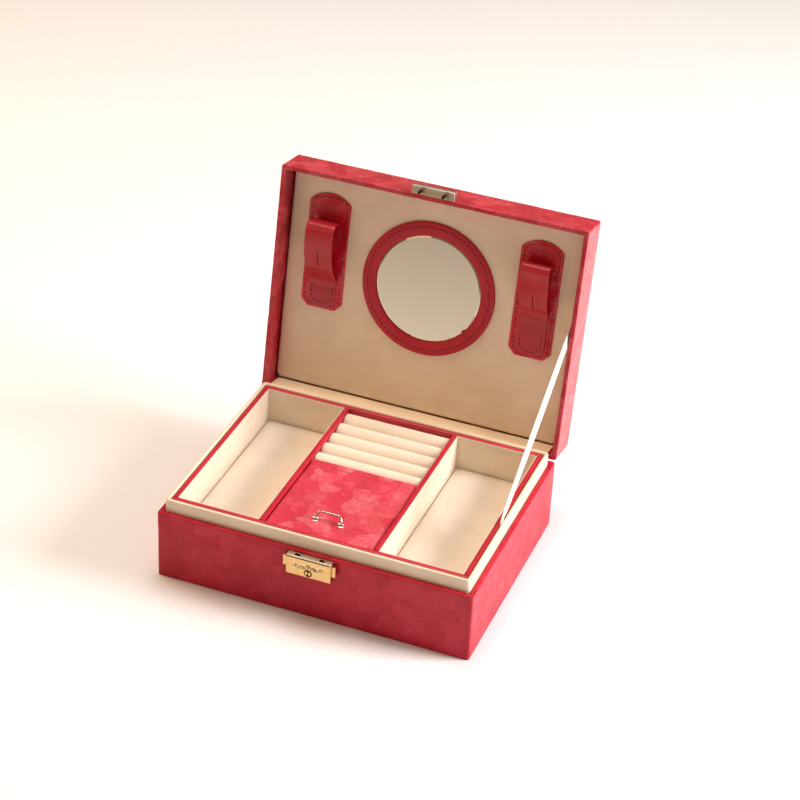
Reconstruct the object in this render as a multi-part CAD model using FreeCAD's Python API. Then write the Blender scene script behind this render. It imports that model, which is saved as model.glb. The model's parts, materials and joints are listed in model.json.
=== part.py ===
import FreeCAD, Part
import math
import os

# Leather jewellery case: a covered body with a padded collar, a lift-out tray, and a lid with a mirror.
# Millimetres. +Z is up, +Y points to the back, and the origin is the middle of the underside.
# The lid stands open. Lid pieces are drawn shut and then turned back about the hinge line.

# ---- overall ----
case_length = 260.0
case_depth = 196.0
body_height = 60.0
lid_height = 34.0
lid_open_angle = 100.5

# ---- sheet and board thicknesses ----
leather = 0.8
bottom_sheet = 1.0
floor_board = 3.0
base_board = 3.8
lid_board = 2.4
lid_top_board = 3.0
lid_foam = 2.8
velvet = 1.0

# ---- outer cover ----
corner_round = 1.5
lid_top_round = 2.0
cover_lift = 0.2
sheet_inset = 1.0
lid_turn_in = 22.0

# ---- collar ----
collar_thickness = 3.2
collar_rise = 10.5
collar_round = 1.3

# ---- tray ----
tray_clearance = 0.6
tray_drop = 0.5
tray_height = 34.0
tray_floor = 2.0
tray_board = 4.0
divider_board = 4.2
cross_board = 3.0
centre_width = 90.6
flap_zone_depth = 91.2
liner = 0.8
liner_floor = 1.2
liner_drop = 0.4
divider_gap = 0.2
lower_divider = 3.0
lower_divider_spacing = 96.0

# ---- ring rolls ----
roll_count = 5
roll_gap = 0.4
roll_drop = 1.6

# ---- flap and its bail handle ----
flap_gap = 0.6
flap_drop = 2.0
flap_pad = 1.8
flap_round = 0.6
flap_board = 2.0
flap_back_gap = 0.4
ledge_gap = 0.2
ledge_width = 1.6
tape_thickness = 0.5
tape_lap = 3.0
handle_span = 21.0
handle_reach = 6.2
handle_lean = 37.0
handle_setback = 18.5
handle_inset = 2.0
handle_bend = 2.4
handle_neck = 0.9
wire_radius = 0.85
handle_pivot_height = 1.6
pivot_pin_radius = 0.45
pivot_clearance = 0.05
eye_radius = 1.0
eye_width = 1.6
ear_gap = 0.15
ear_width = 1.3
ear_radius = 1.15
ear_stalk = 1.85
post_radius = 2.6
post_thickness = 0.5

# ---- lock on the body ----
lock_width = 37.0
lock_height = 17.0
lock_depth = 6.5
lock_drop = 1.4
lock_wall = 0.7
lock_plate = 0.8
hook_spacing = 20.0
slot_length = 4.4
slot_width = 2.8
rivet_radius = 1.0
rivet_head_radius = 1.7
rivet_head = 0.5
rivet_inset_x = 3.2
rivet_inset_z = 2.6
rivet_clearance = 0.05

# ---- latches inside the lock ----
button_proud = 1.4
button_height = 9.0
button_thickness = 2.2
button_top_drop = 2.6
slot_clearance = 0.3
stop_flange = 0.8
stop_lip = 0.7
latch_bar_height = 2.4
riser_thickness = 1.6
riser_gap = 0.7
tongue_radius = 0.5
tongue_reach = 1.3
tongue_clearance = 0.3
foot_height = 2.0
foot_width = 1.6
foot_from_middle = 4.0
spring_radius = 1.0
spring_wire = 0.22
spring_turns = 5
spring_post_half = 1.0
spring_post_height = 2.6
spring_end_gap = 0.05

# ---- key barrel ----
barrel_radius = 2.9
barrel_clearance = 0.05
barrel_rise = 4.4
barrel_proud = 0.4
cam_half_length = 3.3
cam_width = 1.6
cam_thickness = 1.8
stub_radius = 1.0
stub_gap = 0.05
keyway_length = 3.8
keyway_width = 0.9
keyway_depth = 1.0

# ---- striker on the lid ----
striker_width = 36.0
striker_height = 5.8
striker_wall = 0.8
striker_chamfer = 1.2
striker_lift = 0.3
hook_length = 6.6
hook_thickness = 1.4
hook_width = 2.2
hook_hole_radius = 0.75
hook_hole_from_tip = 2.0

# ---- hinges ----
hinge_spacing = 160.0
hinge_length = 24.0
knuckle_radius = 1.3
pin_radius = 0.6
pin_clearance = 0.05
knuckle_gap = 0.3
knuckle_count = 3
leaf_thickness = 0.7
leaf_height = 11.0
hinge_relief = 0.3
screw_radius = 0.8
screw_head_radius = 1.5
screw_head = 0.5
screw_length = 3.0
screw_spacing = 14.0
screw_drop = 7.5
screw_clearance = 0.05

# ---- lid lining, mirror and earring holders ----
lining_recess = 17.8
lining_gap = 1.0
lining_round = 2.6
mirror_radius = 44.9
mirror_thickness = 1.0
mirror_clearance = 0.1
surround_radius = 57.0
surround_thickness = 1.8
mirror_forward = 15.0
patch_offset = 90.8
patch_width = 36.0
patch_front = 77.0
patch_back = 23.0
patch_thickness = 1.2
patch_dome = 8.0
patch_chamfer = 6.0
strap_width = 24.0
strap_thickness = 0.9
strap_foot_inset = 2.5
strap_flat = 25.0
strap_crest = 46.0
strap_crest_share = 0.9
strap_fold = 75.0
strap_peak = 84.0
strap_return = 73.0
strap_end = 60.0
strap_lift_left = 20.0
strap_lift_right = 15.0
strap_samples = 60
arc_share = 0.45

# ---- hinge lining and stay ribbon ----
hinge_lining_thickness = 0.5
hinge_lining_end_gap = 4.0
hinge_lining_gap = 0.15
hinge_lining_grip = 6.0
ribbon_width = 8.0
ribbon_thickness = 0.35
ribbon_foot_y = -12.0
ribbon_foot_lift = 1.5
ribbon_tail = 25.0
ribbon_gap = 0.05
ribbon_top_y = -25.5
ribbon_tuck = 1.2

# ---- derived places ----
half_length = case_length / 2
half_depth = case_depth / 2
core_x = half_length - leather
core_y = half_depth - leather
well_x = core_x - base_board
well_y = core_y - base_board
inner_x = well_x - collar_thickness
inner_y = well_y - collar_thickness
floor_top = bottom_sheet + floor_board
rim_under = body_height - leather
collar_top = body_height + collar_rise

tray_x = inner_x - tray_clearance
tray_y = inner_y - tray_clearance
tray_top = collar_top - tray_drop
tray_bottom = tray_top - tray_height
tray_floor_top = tray_bottom + tray_floor
pocket_x = tray_x - tray_board
pocket_y = tray_y - tray_board
centre_x = centre_width / 2
divider_x = centre_x + divider_board
cross_front = flap_zone_depth - pocket_y
cross_back = cross_front + cross_board

flap_top = tray_top - flap_drop
flap_under = flap_top - flap_pad - flap_board
flap_line_y = cross_front - flap_back_gap / 2
flap_back = flap_line_y - flap_back_gap / 2
flap_front = flap_gap - pocket_y
flap_x = centre_x - flap_gap
handle_y = flap_front + handle_setback
handle_z = flap_top + handle_pivot_height
handle_neck_z = handle_z + ear_radius + handle_neck

lid_inner_x = half_length - 2 * leather - lid_board
lid_inner_y = half_depth - 2 * leather - lid_board
lid_core_under = body_height + leather
lid_board_top = body_height + lid_height - leather - lid_foam - lid_top_board
lid_top_board_top = lid_board_top + lid_top_board
lid_foam_top = lid_top_board_top + lid_foam
lining_face = body_height + lining_recess
lining_x = lid_inner_x - lining_gap
lining_y = lid_inner_y - lining_gap

hinge_y = half_depth + leaf_thickness / 2
hinge_z = body_height
relief_radius = knuckle_radius + hinge_relief
knuckle_length = (hinge_length + knuckle_gap) / knuckle_count - knuckle_gap

lock_front = -half_depth - lock_depth
lock_back = -half_depth - lock_plate
lock_top = body_height - lock_drop
lock_foot = lock_top - lock_height
lock_inner_x = lock_width / 2 - lock_wall
lock_inner_front = lock_front + lock_wall
hook_y = (lock_inner_front + lock_back) / 2
hook_x = hook_spacing / 2
striker_under = body_height + striker_lift
hook_tip = striker_under - hook_length
hook_hole_z = hook_tip + hook_hole_from_tip
button_travel = tongue_reach + tongue_clearance
button_out = button_travel + button_proud
button_top = lock_top - button_top_drop
button_foot = button_top - button_height
riser_outer_x = hook_x - hook_thickness / 2 - riser_gap
riser_inner_x = riser_outer_x - riser_thickness
barrel_z = lock_foot + barrel_rise
spring_z = hook_hole_z - spring_post_height
rivet_x = lock_inner_x - rivet_inset_x
rivet_low = lock_foot + lock_wall + rivet_inset_z
rivet_high = lock_top - lock_wall - rivet_inset_z

same = 0.001

X_AXIS = FreeCAD.Vector(1, 0, 0)
Y_AXIS = FreeCAD.Vector(0, 1, 0)
Z_AXIS = FreeCAD.Vector(0, 0, 1)


# ---- shape helpers ----
def box(x0, x1, y0, y1, z0, z1):
    """Return the box between the given limits."""
    corner = FreeCAD.Vector(min(x0, x1), min(y0, y1), min(z0, z1))
    return Part.makeBox(abs(x1 - x0), abs(y1 - y0), abs(z1 - z0), corner)


def centred_box(half_x, half_y, z0, z1):
    """Return a box centred on the Z axis."""
    return box(-half_x, half_x, -half_y, half_y, z0, z1)


def rod(radius, start, end):
    """Return a round bar from one point to another."""
    along = end - start
    return Part.makeCylinder(radius, along.Length, start, along)


def rod_x(radius, x0, x1, y, z):
    """Return a round bar along X."""
    return rod(radius, FreeCAD.Vector(x0, y, z), FreeCAD.Vector(x1, y, z))


def rod_y(radius, y0, y1, x, z):
    """Return a round bar along Y."""
    return rod(radius, FreeCAD.Vector(x, y0, z), FreeCAD.Vector(x, y1, z))


def fillet_edges(shape, radius, wanted):
    """Round every straight edge whose direction and middle satisfy the test."""
    chosen = []
    for edge in shape.Edges:
        ends = [vertex.Point for vertex in edge.Vertexes]
        if len(ends) == 2 and wanted(ends[1] - ends[0], (ends[0] + ends[1]) * 0.5):
            chosen.append(edge)
    return shape.makeFillet(radius, chosen)


def is_upright(along, _middle):
    """Tell whether an edge runs along Z."""
    return abs(along.x) + abs(along.y) < same


def at_height(level):
    """Return a test for level edges at one height."""
    def test(along, middle):
        return abs(along.z) < same and abs(middle.z - level) < same
    return test


def opened(shape):
    """Turn a piece of the shut lid back about the hinge line."""
    copy = shape.copy()
    copy.rotate(FreeCAD.Vector(0, hinge_y, hinge_z), X_AXIS, -lid_open_angle)
    return copy


def joined(shapes):
    """Fuse overlapping or touching solids into one."""
    result = shapes[0]
    for shape in shapes[1:]:
        result = result.fuse(shape)
    return result.removeSplitter()


def mirrored_x(shape):
    """Return the copy on the other side of the middle plane."""
    return shape.mirror(FreeCAD.Vector(0, 0, 0), X_AXIS)


def prism_x(points, x0, x1):
    """Extrude a closed (y, z) outline along X."""
    corners = [FreeCAD.Vector(x0, y, z) for y, z in points]
    face = Part.Face(Part.makePolygon(corners + corners[:1]))
    return face.extrude(FreeCAD.Vector(x1 - x0, 0, 0))


def rounded_path(points, radius=None):
    """Join straight runs through the points with tangent arcs, each as large as its runs allow by default."""
    edges = []
    start = points[0]
    for before, corner, after in zip(points, points[1:], points[2:]):
        arrive = (corner - before).normalize()
        leave = (after - corner).normalize()
        turn = arrive.getAngle(leave)
        shorter = min((corner - before).Length, (after - corner).Length)
        bend = radius or arc_share * shorter / math.tan(turn / 2)
        setback = bend * math.tan(turn / 2)
        into = corner - arrive * setback
        out = corner + leave * setback
        inward = (leave - arrive).normalize()
        middle = corner + inward * (bend / math.cos(turn / 2) - bend)
        edges.append(Part.makeLine(start, into))
        edges.append(Part.Arc(into, middle, out).toShape())
        start = out
    edges.append(Part.makeLine(start, points[-1]))
    return Part.Wire(edges)


# ---- body ----
def make_base_bottom_sheet():
    """Felted sheet that the case stands on."""
    return centred_box(half_length - sheet_inset, half_depth - sheet_inset, 0, bottom_sheet)


def make_base_floor_board():
    """Floor board between the four walls."""
    return centred_box(well_x, well_y, bottom_sheet, floor_top)


def lock_rivet_holes():
    """Round holes for the lock's rivets through the front wall."""
    radius = rivet_radius + rivet_clearance
    holes = []
    for x in (-rivet_x, rivet_x):
        for z in (rivet_low, rivet_high):
            holes.append(rod_y(radius, lock_back, -well_y, x, z))
    return holes


def hinge_centres():
    """X positions of the two hinges."""
    return (-hinge_spacing / 2, hinge_spacing / 2)


def hinge_reliefs():
    """Round grooves along the back rim that clear the hinge knuckles."""
    half = hinge_length / 2 + hinge_relief
    return [rod_x(relief_radius, x - half, x + half, hinge_y, hinge_z) for x in hinge_centres()]


def screw_holes(z):
    """Holes for one row of hinge screws at the given height."""
    radius = screw_radius + screw_clearance
    holes = []
    for x in hinge_centres():
        for side in (-screw_spacing / 2, screw_spacing / 2):
            holes.append(rod_y(radius, half_depth - screw_length, hinge_y + leaf_thickness, x + side, z))
    return holes


def cut_all(shape, tools):
    """Cut several tools from a shape."""
    for tool in tools:
        shape = shape.cut(tool)
    return shape


def make_base_front_board():
    """Front wall board, drilled for the lock."""
    board = box(-core_x, core_x, -core_y, -well_y, bottom_sheet, rim_under)
    return cut_all(board, lock_rivet_holes())


def make_base_back_board():
    """Back wall board, grooved and drilled for the hinges."""
    board = box(-core_x, core_x, well_y, core_y, bottom_sheet, rim_under)
    return cut_all(board, hinge_reliefs() + screw_holes(hinge_z - screw_drop))


def make_base_left_board():
    """Left wall board between the front and back boards."""
    return box(-core_x, -well_x, -well_y, well_y, bottom_sheet, rim_under)


def make_base_right_board():
    """Right wall board between the front and back boards."""
    return mirrored_x(make_base_left_board())


def make_base_leather_cover():
    """Leather round the four walls, turned in over the rim."""
    outside = centred_box(half_length, half_depth, cover_lift, body_height)
    outside = fillet_edges(outside, corner_round, is_upright)
    boards = centred_box(core_x, core_y, 0, rim_under)
    well = centred_box(well_x, well_y, 0, body_height)
    cover = outside.cut(boards).cut(well)
    return cut_all(cover, lock_rivet_holes() + hinge_reliefs() + screw_holes(hinge_z - screw_drop))


def make_base_floor_liner():
    """Velvet on the floor of the lower layer."""
    return centred_box(inner_x, inner_y, floor_top, floor_top + velvet)


def collar_long(side):
    """Collar strip along the front (-1) or back (+1)."""
    strip = box(-well_x, well_x, side * inner_y, side * well_y, floor_top, collar_top)
    return fillet_edges(strip, collar_round, at_height(collar_top))


def collar_short(side):
    """Collar strip along the left (-1) or right (+1)."""
    strip = box(side * inner_x, side * well_x, -inner_y, inner_y, floor_top, collar_top)

    def lengthways(along, middle):
        return at_height(collar_top)(along, middle) and abs(along.y) > abs(along.x)
    return fillet_edges(strip, collar_round, lengthways)


def make_lower_dividers():
    """Two boards in the lower layer that also carry the tray."""
    half_span = inner_y - divider_gap
    near = (lower_divider_spacing - lower_divider) / 2
    low = floor_top + velvet
    board = box(near, near + lower_divider, -half_span, half_span, low, tray_bottom)
    return Part.makeCompound([mirrored_x(board), board])


# ---- lock ----
def make_lock_back_plate():
    """Plate behind the lock, with the post between the two springs."""
    half = lock_width / 2
    plate = box(-half, half, lock_back, -half_depth, lock_foot, lock_top)
    post_low = spring_z - spring_post_height / 2
    post_high = spring_z + spring_post_height / 2
    post = box(-spring_post_half, spring_post_half, lock_back, hook_y - spring_radius, post_low, post_high)
    return joined([cut_all(plate, lock_rivet_holes()), post])


def make_lock_case():
    """Hollow lock case with two hook slots, two button slots and the barrel hole."""
    half = lock_width / 2
    shell = box(-half, half, lock_front, lock_back, lock_foot, lock_top)
    hollow_low = lock_foot + lock_wall
    hollow_high = lock_top - lock_wall
    hollow = box(-lock_inner_x, lock_inner_x, lock_inner_front, lock_back, hollow_low, hollow_high)
    tools = [hollow]
    half_slot = slot_width / 2
    for x in (-hook_x, hook_x):
        left = x - slot_length / 2
        right = x + slot_length / 2
        tools.append(box(left, right, hook_y - half_slot, hook_y + half_slot, hollow_high, lock_top))
    button_half = button_thickness / 2 + slot_clearance
    low = button_foot - slot_clearance
    high = button_top + slot_clearance
    tools.append(box(-half, half, hook_y - button_half, hook_y + button_half, low, high))
    tools.append(rod_y(barrel_radius + barrel_clearance, lock_front, lock_inner_front, 0, barrel_z))
    return cut_all(shell, tools)


def make_lock_rivets():
    """Four rivets that hold the lock's back plate to the front wall."""
    rivets = []
    for x in (-rivet_x, rivet_x):
        for z in (rivet_low, rivet_high):
            shank = rod_y(rivet_radius, lock_back, -well_y - rivet_clearance, x, z)
            head = rod_y(rivet_head_radius, lock_back - rivet_head, lock_back, x, z)
            rivets.append(joined([shank, head]))
    return Part.makeCompound(rivets)


def make_latch_button_right():
    """Right latch: outside button, stop flange, bar, riser with foot, and tongue."""
    half = lock_width / 2
    low = button_foot
    near = hook_y - button_thickness / 2
    far = hook_y + button_thickness / 2
    inside = lock_inner_x - slot_clearance / 2
    button = box(inside, half + button_out, near, far, low, button_top)
    flange_low = low - stop_lip
    flange_high = button_top + stop_lip
    flange = box(inside - stop_flange, inside, near, far, flange_low, flange_high)
    bar = box(riser_inner_x, inside - stop_flange, near, far, low, low + latch_bar_height)
    riser_top = hook_hole_z + foot_height / 2
    riser = box(riser_inner_x, riser_outer_x, near, far, low, riser_top)
    tongue_end = hook_x - hook_thickness / 2 + tongue_reach
    tongue = rod_x(tongue_radius, riser_outer_x - riser_thickness / 2, tongue_end, hook_y, hook_hole_z)
    foot_half = foot_width / 2
    foot_low = low - foot_height / 2
    foot_high = low + foot_height / 2
    foot = box(foot_from_middle, riser_outer_x, hook_y - foot_half, hook_y + foot_half, foot_low, foot_high)
    return joined([button, flange, bar, riser, tongue, foot])


def make_latch_button_left():
    """Left latch, the mirror image of the right one."""
    return mirrored_x(make_latch_button_right())


def coil(radius, wire, length, turns):
    """Return a helical spring along +Z from the origin."""
    pitch = (length - 2 * wire) / turns
    spine = Part.makeHelix(pitch, length - 2 * wire, radius)
    start = FreeCAD.Vector(radius, 0, 0)
    ring = Part.Wire(Part.makeCircle(wire, start, Y_AXIS))
    spring = Part.Wire(spine.Edges).makePipeShell([ring], True, True)
    spring.translate(Z_AXIS * wire)
    return spring


def make_latch_springs():
    """Two small springs that push the latches outwards."""
    start = spring_post_half + spring_end_gap
    length = riser_inner_x - spring_end_gap - start
    spring = coil(spring_radius - spring_wire, spring_wire, length, spring_turns)
    spring.rotate(FreeCAD.Vector(0, 0, 0), Y_AXIS, 90)
    spring.translate(FreeCAD.Vector(start, hook_y, spring_z))
    return Part.makeCompound([mirrored_x(spring), spring])


def make_key_cylinder():
    """Key barrel with its keyway, locking cam and rear stub."""
    cam_front = hook_y - cam_thickness / 2
    cam_back = hook_y + cam_thickness / 2
    barrel = rod_y(barrel_radius, lock_front - barrel_proud, cam_front, 0, barrel_z)
    half = cam_width / 2
    cam = box(-half, half, cam_front, cam_back, barrel_z - cam_half_length, barrel_z + cam_half_length)
    stub = rod_y(stub_radius, cam_back, lock_back - stub_gap, 0, barrel_z)
    half_key = keyway_width / 2
    face = lock_front - barrel_proud
    half_long = keyway_length / 2
    keyway = box(-half_key, half_key, face, face + keyway_depth, barrel_z - half_long, barrel_z + half_long)
    return joined([barrel, cam, stub]).cut(keyway)


# ---- hinges ----
def hinge_leaf(x, up, own, other):
    """Leaf with its own knuckles, cleared round the other leaf's knuckles.

    up is +1 for the lid's leaf and -1 for the body's. own and other hold knuckle indices from 0.
    """
    left = x - hinge_length / 2
    near = hinge_z
    far = hinge_z + up * leaf_height
    leaf = box(left, left + hinge_length, half_depth, half_depth + leaf_thickness, near, far)
    step = knuckle_length + knuckle_gap
    for index in other:
        start = left + index * step - knuckle_gap
        end = start + knuckle_length + 2 * knuckle_gap
        leaf = leaf.cut(rod_x(relief_radius, start, end, hinge_y, hinge_z))
    for index in own:
        start = left + index * step
        leaf = leaf.fuse(rod_x(knuckle_radius, start, start + knuckle_length, hinge_y, hinge_z))
    bore = rod_x(pin_radius + pin_clearance, left, left + hinge_length, hinge_y, hinge_z)
    leaf = leaf.cut(bore)
    return leaf


def make_hinge_base_leaves():
    """Body leaves of both hinges, each with the two outer knuckles."""
    leaves = []
    for x in hinge_centres():
        leaf = hinge_leaf(x, -1, (0, 2), (1,))
        leaves.append(cut_all(leaf, screw_holes(hinge_z - screw_drop)))
    return Part.makeCompound(leaves)


def make_hinge_lid_leaves():
    """Lid leaves of both hinges, each with the middle knuckle."""
    leaves = []
    for x in hinge_centres():
        leaf = hinge_leaf(x, 1, (1,), (0, 2))
        leaves.append(opened(cut_all(leaf, screw_holes(hinge_z + screw_drop))))
    return Part.makeCompound(leaves)


def make_hinge_pins():
    """Pins through both hinges."""
    half = hinge_length / 2
    pins = [rod_x(pin_radius, x - half, x + half, hinge_y, hinge_z) for x in hinge_centres()]
    return Part.makeCompound(pins)


def hinge_screws(z):
    """Round-headed screws through one row of leaf holes."""
    screws = []
    face = half_depth + leaf_thickness
    for x in hinge_centres():
        for side in (-screw_spacing / 2, screw_spacing / 2):
            shank = rod_y(screw_radius, half_depth - screw_length + screw_clearance, face, x + side, z)
            head = rod_y(screw_head_radius, face, face + screw_head, x + side, z)
            screws.append(joined([shank, head]))
    return screws


def make_hinge_base_screws():
    """Screws that hold the hinges to the body."""
    return Part.makeCompound(hinge_screws(hinge_z - screw_drop))


def make_hinge_lid_screws():
    """Screws that hold the hinges to the lid."""
    return Part.makeCompound([opened(screw) for screw in hinge_screws(hinge_z + screw_drop)])


# ---- lid ----
def make_lid_top_board():
    """Board across the top of the lid."""
    return opened(centred_box(core_x, core_y, lid_board_top, lid_top_board_top))


def make_lid_top_foam():
    """Foam between the top board and the leather."""
    return opened(centred_box(core_x, core_y, lid_top_board_top, lid_foam_top))


def make_lid_front_board():
    """Front wall board of the lid."""
    inner = core_y - lid_board
    return opened(box(-core_x, core_x, -core_y, -inner, lid_core_under, lid_board_top))


def make_lid_back_board():
    """Back wall board of the lid, grooved and drilled for the hinges."""
    inner = core_y - lid_board
    board = box(-core_x, core_x, inner, core_y, lid_core_under, lid_board_top)
    return opened(cut_all(board, hinge_reliefs() + screw_holes(hinge_z + screw_drop)))


def lid_side_board(side):
    """Left (-1) or right (+1) wall board of the lid."""
    inner_side = core_x - lid_board
    inner = core_y - lid_board
    return opened(box(side * inner_side, side * core_x, -inner, inner, lid_core_under, lid_board_top))


def make_lid_leather_cover():
    """Leather over the lid, turned in over the rim and up the inner walls."""
    top = body_height + lid_height
    outside = centred_box(half_length, half_depth, body_height, top)
    outside = fillet_edges(outside, corner_round, is_upright)
    outside = outside.makeFillet(lid_top_round, level_edges(outside, top))
    turn_in_top = body_height + lid_turn_in
    ring = centred_box(core_x, core_y, lid_core_under, turn_in_top)
    ring = ring.cut(centred_box(core_x - lid_board, core_y - lid_board, lid_core_under, turn_in_top))
    mouth = centred_box(lid_inner_x, lid_inner_y, body_height, turn_in_top)
    upper = centred_box(core_x, core_y, turn_in_top, lid_foam_top)
    cover = outside.cut(ring).cut(mouth).cut(upper)
    return opened(cut_all(cover, hinge_reliefs() + screw_holes(hinge_z + screw_drop)))


def level_edges(shape, level):
    """Every edge, straight or curved, that lies at one height."""
    found = []
    for edge in shape.Edges:
        limits = edge.BoundBox
        if abs(limits.ZMin - level) < same and abs(limits.ZMax - level) < same:
            found.append(edge)
    return found


def make_lid_lining_panel():
    """Padded lining panel that fills the lid behind the mirror."""
    panel = centred_box(lining_x, lining_y, lining_face, lid_board_top)
    panel = fillet_edges(panel, lining_round, at_height(lining_face))
    return opened(panel)


def mirror_disc(radius, z0, z1):
    """Upright disc on the mirror's centre."""
    return Part.makeCylinder(radius, z1 - z0, FreeCAD.Vector(0, -mirror_forward, z0), Z_AXIS)


def make_mirror_surround():
    """Stitched leather ring round the mirror."""
    low = lining_face - surround_thickness
    ring = mirror_disc(surround_radius, low, lining_face)
    ring = ring.cut(mirror_disc(mirror_radius + mirror_clearance, low, lining_face))
    return opened(ring)


def make_mirror_glass():
    """Round mirror inside the ring."""
    return opened(mirror_disc(mirror_radius, lining_face - mirror_thickness, lining_face))


def earring_patch(centre):
    """Leather patch with a domed head and two cut corners."""
    left = centre - patch_width / 2
    right = centre + patch_width / 2
    shoulder = patch_dome - patch_front
    low = lining_face - patch_thickness

    corner = patch_back - patch_chamfer

    def at(x, y):
        return FreeCAD.Vector(x, y, low)
    dome = Part.Arc(at(left, shoulder), at(centre, -patch_front), at(right, shoulder)).toShape()
    right_side = [at(right, shoulder), at(right, corner), at(right - patch_chamfer, patch_back)]
    left_side = [at(left + patch_chamfer, patch_back), at(left, corner), at(left, shoulder)]
    wire = Part.Wire([dome] + Part.makePolygon(right_side + left_side).Edges)
    return opened(Part.Face(wire).extrude(Z_AXIS * patch_thickness))


def strap_path(lift):
    """Middle line of a strap's loop, seen from its side."""
    half = strap_thickness / 2
    on_patch = lining_face - patch_thickness - half
    runs = [
        (strap_foot_inset, on_patch),
        (strap_flat, on_patch),
        (strap_crest, on_patch - lift * strap_crest_share),
        (strap_fold, on_patch - lift),
        (strap_peak, on_patch - lift / 2),
        (strap_return, on_patch),
        (strap_end, on_patch),
    ]
    return rounded_path([FreeCAD.Vector(0, patch_back - along, z) for along, z in runs])


def earring_strap(centre, lift):
    """Leather strap that loops off its patch."""
    points = strap_path(lift).discretize(Number=strap_samples)
    half = strap_thickness / 2
    outer = []
    inner = []
    for index, point in enumerate(points):
        before = points[max(index - 1, 0)]
        after = points[min(index + 1, strap_samples - 1)]
        tangent = (after - before).normalize()
        normal = FreeCAD.Vector(0, -tangent.z, tangent.y) * half
        outer.append(point + normal)
        inner.append(point - normal)
    outline = [(corner.y, corner.z) for corner in outer + inner[::-1]]
    return opened(prism_x(outline, centre - strap_width / 2, centre + strap_width / 2))


def striker_outline(inset):
    """Side outline of the striker nose, or of its hollow when inset is the wall."""
    front = lock_front + inset
    low = striker_under + inset
    top = striker_under + striker_height - inset
    chamfer = [(front, top - striker_chamfer), (front + striker_chamfer, top)]
    return [(-half_depth, low), (front, low)] + chamfer + [(-half_depth, top)]


def make_striker_plate():
    """Hollow striker nose on the lid's front."""
    half = striker_width / 2
    inner = half - striker_wall
    nose = prism_x(striker_outline(0), -half, half)
    return opened(nose.cut(prism_x(striker_outline(striker_wall), -inner, inner)))


def make_striker_hooks():
    """Two eyed hooks that drop into the lock."""
    hooks = []
    half = hook_thickness / 2
    half_width = hook_width / 2
    for x in (-hook_x, hook_x):
        blade = box(x - half, x + half, hook_y - half_width, hook_y + half_width, hook_tip, striker_under)
        eye = rod_x(hook_hole_radius, x - half, x + half, hook_y, hook_hole_z)
        hooks.append(opened(blade.cut(eye)))
    return Part.makeCompound(hooks)


# ---- hinge lining and stay ribbon ----
def shut_to_open(y, z):
    """Where a point of the shut lid lies when the lid stands open."""
    turn = math.radians(lid_open_angle)
    dy = y - hinge_y
    dz = z - hinge_z
    back = dy * math.cos(turn) + dz * math.sin(turn)
    up = dz * math.cos(turn) - dy * math.sin(turn)
    return (hinge_y + back, hinge_z + up)


def make_hinge_lining():
    """Cream cloth from the back of the collar to the lid's back wall, at rest with the lid open."""
    thick = hinge_lining_thickness
    gap = hinge_lining_gap
    lid_face = lid_inner_y - gap
    lid_far = body_height + lining_recess - gap
    outer_far = shut_to_open(lid_face, lid_far)
    outer_near = shut_to_open(lid_face, body_height)
    inner_near = shut_to_open(lid_face - thick, body_height)
    inner_far = shut_to_open(lid_face - thick, lid_far)
    collar_face = well_y + gap
    high = collar_top - collar_round - gap
    low = high - hinge_lining_grip
    outline = [outer_far, outer_near, (collar_face + thick, high - 2 * thick), (collar_face + thick, low)]
    outline += [(collar_face, low), (collar_face, high), inner_near, inner_far]
    half = lid_inner_x - hinge_lining_end_gap
    return prism_x(outline, -half, half)


def make_lid_stay_ribbon():
    """Ribbon that stops the lid, taut from the collar's inner face to the lid's right wall."""
    half_thick = ribbon_thickness / 2
    foot_x = inner_x - ribbon_gap - half_thick
    foot = FreeCAD.Vector(foot_x, ribbon_foot_y, collar_top + ribbon_foot_lift)
    top_y, top_z = shut_to_open(ribbon_top_y, lining_face + ribbon_tuck)
    top = FreeCAD.Vector(lid_inner_x - lining_gap / 2, top_y, top_z)
    along = top - foot
    across = FreeCAD.Vector(0, -along.z, along.y).normalize() * (ribbon_width / 2)
    thick = FreeCAD.Vector(half_thick, 0, 0)
    corners = [foot - across - thick, foot + across - thick, foot + across + thick, foot - across + thick]
    run = Part.Face(Part.makePolygon(corners + corners[:1])).extrude(along)
    half = ribbon_width / 2
    low = foot.z - ribbon_tail
    tail = box(foot_x - half_thick, foot_x + half_thick, foot.y - half, foot.y + half, low, foot.z)
    return joined([run, tail])


# ---- tray ----
def make_tray_base_board():
    """Floor board of the tray."""
    return centred_box(tray_x, tray_y, tray_bottom, tray_floor_top)


def tray_long_wall(side):
    """Front (-1) or back (+1) wall of the tray."""
    return box(-tray_x, tray_x, side * pocket_y, side * tray_y, tray_floor_top, tray_top)


def tray_short_wall(side):
    """Left (-1) or right (+1) wall of the tray."""
    return box(side * pocket_x, side * tray_x, -pocket_y, pocket_y, tray_floor_top, tray_top)


def tray_divider(side):
    """Divider on the left (-1) or right (+1) of the middle zone."""
    return box(side * centre_x, side * divider_x, -pocket_y, pocket_y, tray_floor_top, tray_top)


def make_tray_cross_wall():
    """Wall between the ring rolls and the flap compartment."""
    return box(-centre_x, centre_x, cross_front, cross_back, tray_floor_top, flap_top)


def open_liner(x0, x1, y0, y1, top, wall):
    """Velvet liner with a floor and four walls."""
    block = box(x0, x1, y0, y1, tray_floor_top, top)
    hollow = box(x0 + wall, x1 - wall, y0 + wall, y1 - wall, tray_floor_top + liner_floor, top)
    return block.cut(hollow)


def make_right_compartment_liner():
    """Velvet liner of the right compartment."""
    return open_liner(divider_x, pocket_x, -pocket_y, pocket_y, tray_top - liner_drop, liner)


def make_left_compartment_liner():
    """Velvet liner of the left compartment."""
    return mirrored_x(make_right_compartment_liner())


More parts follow.
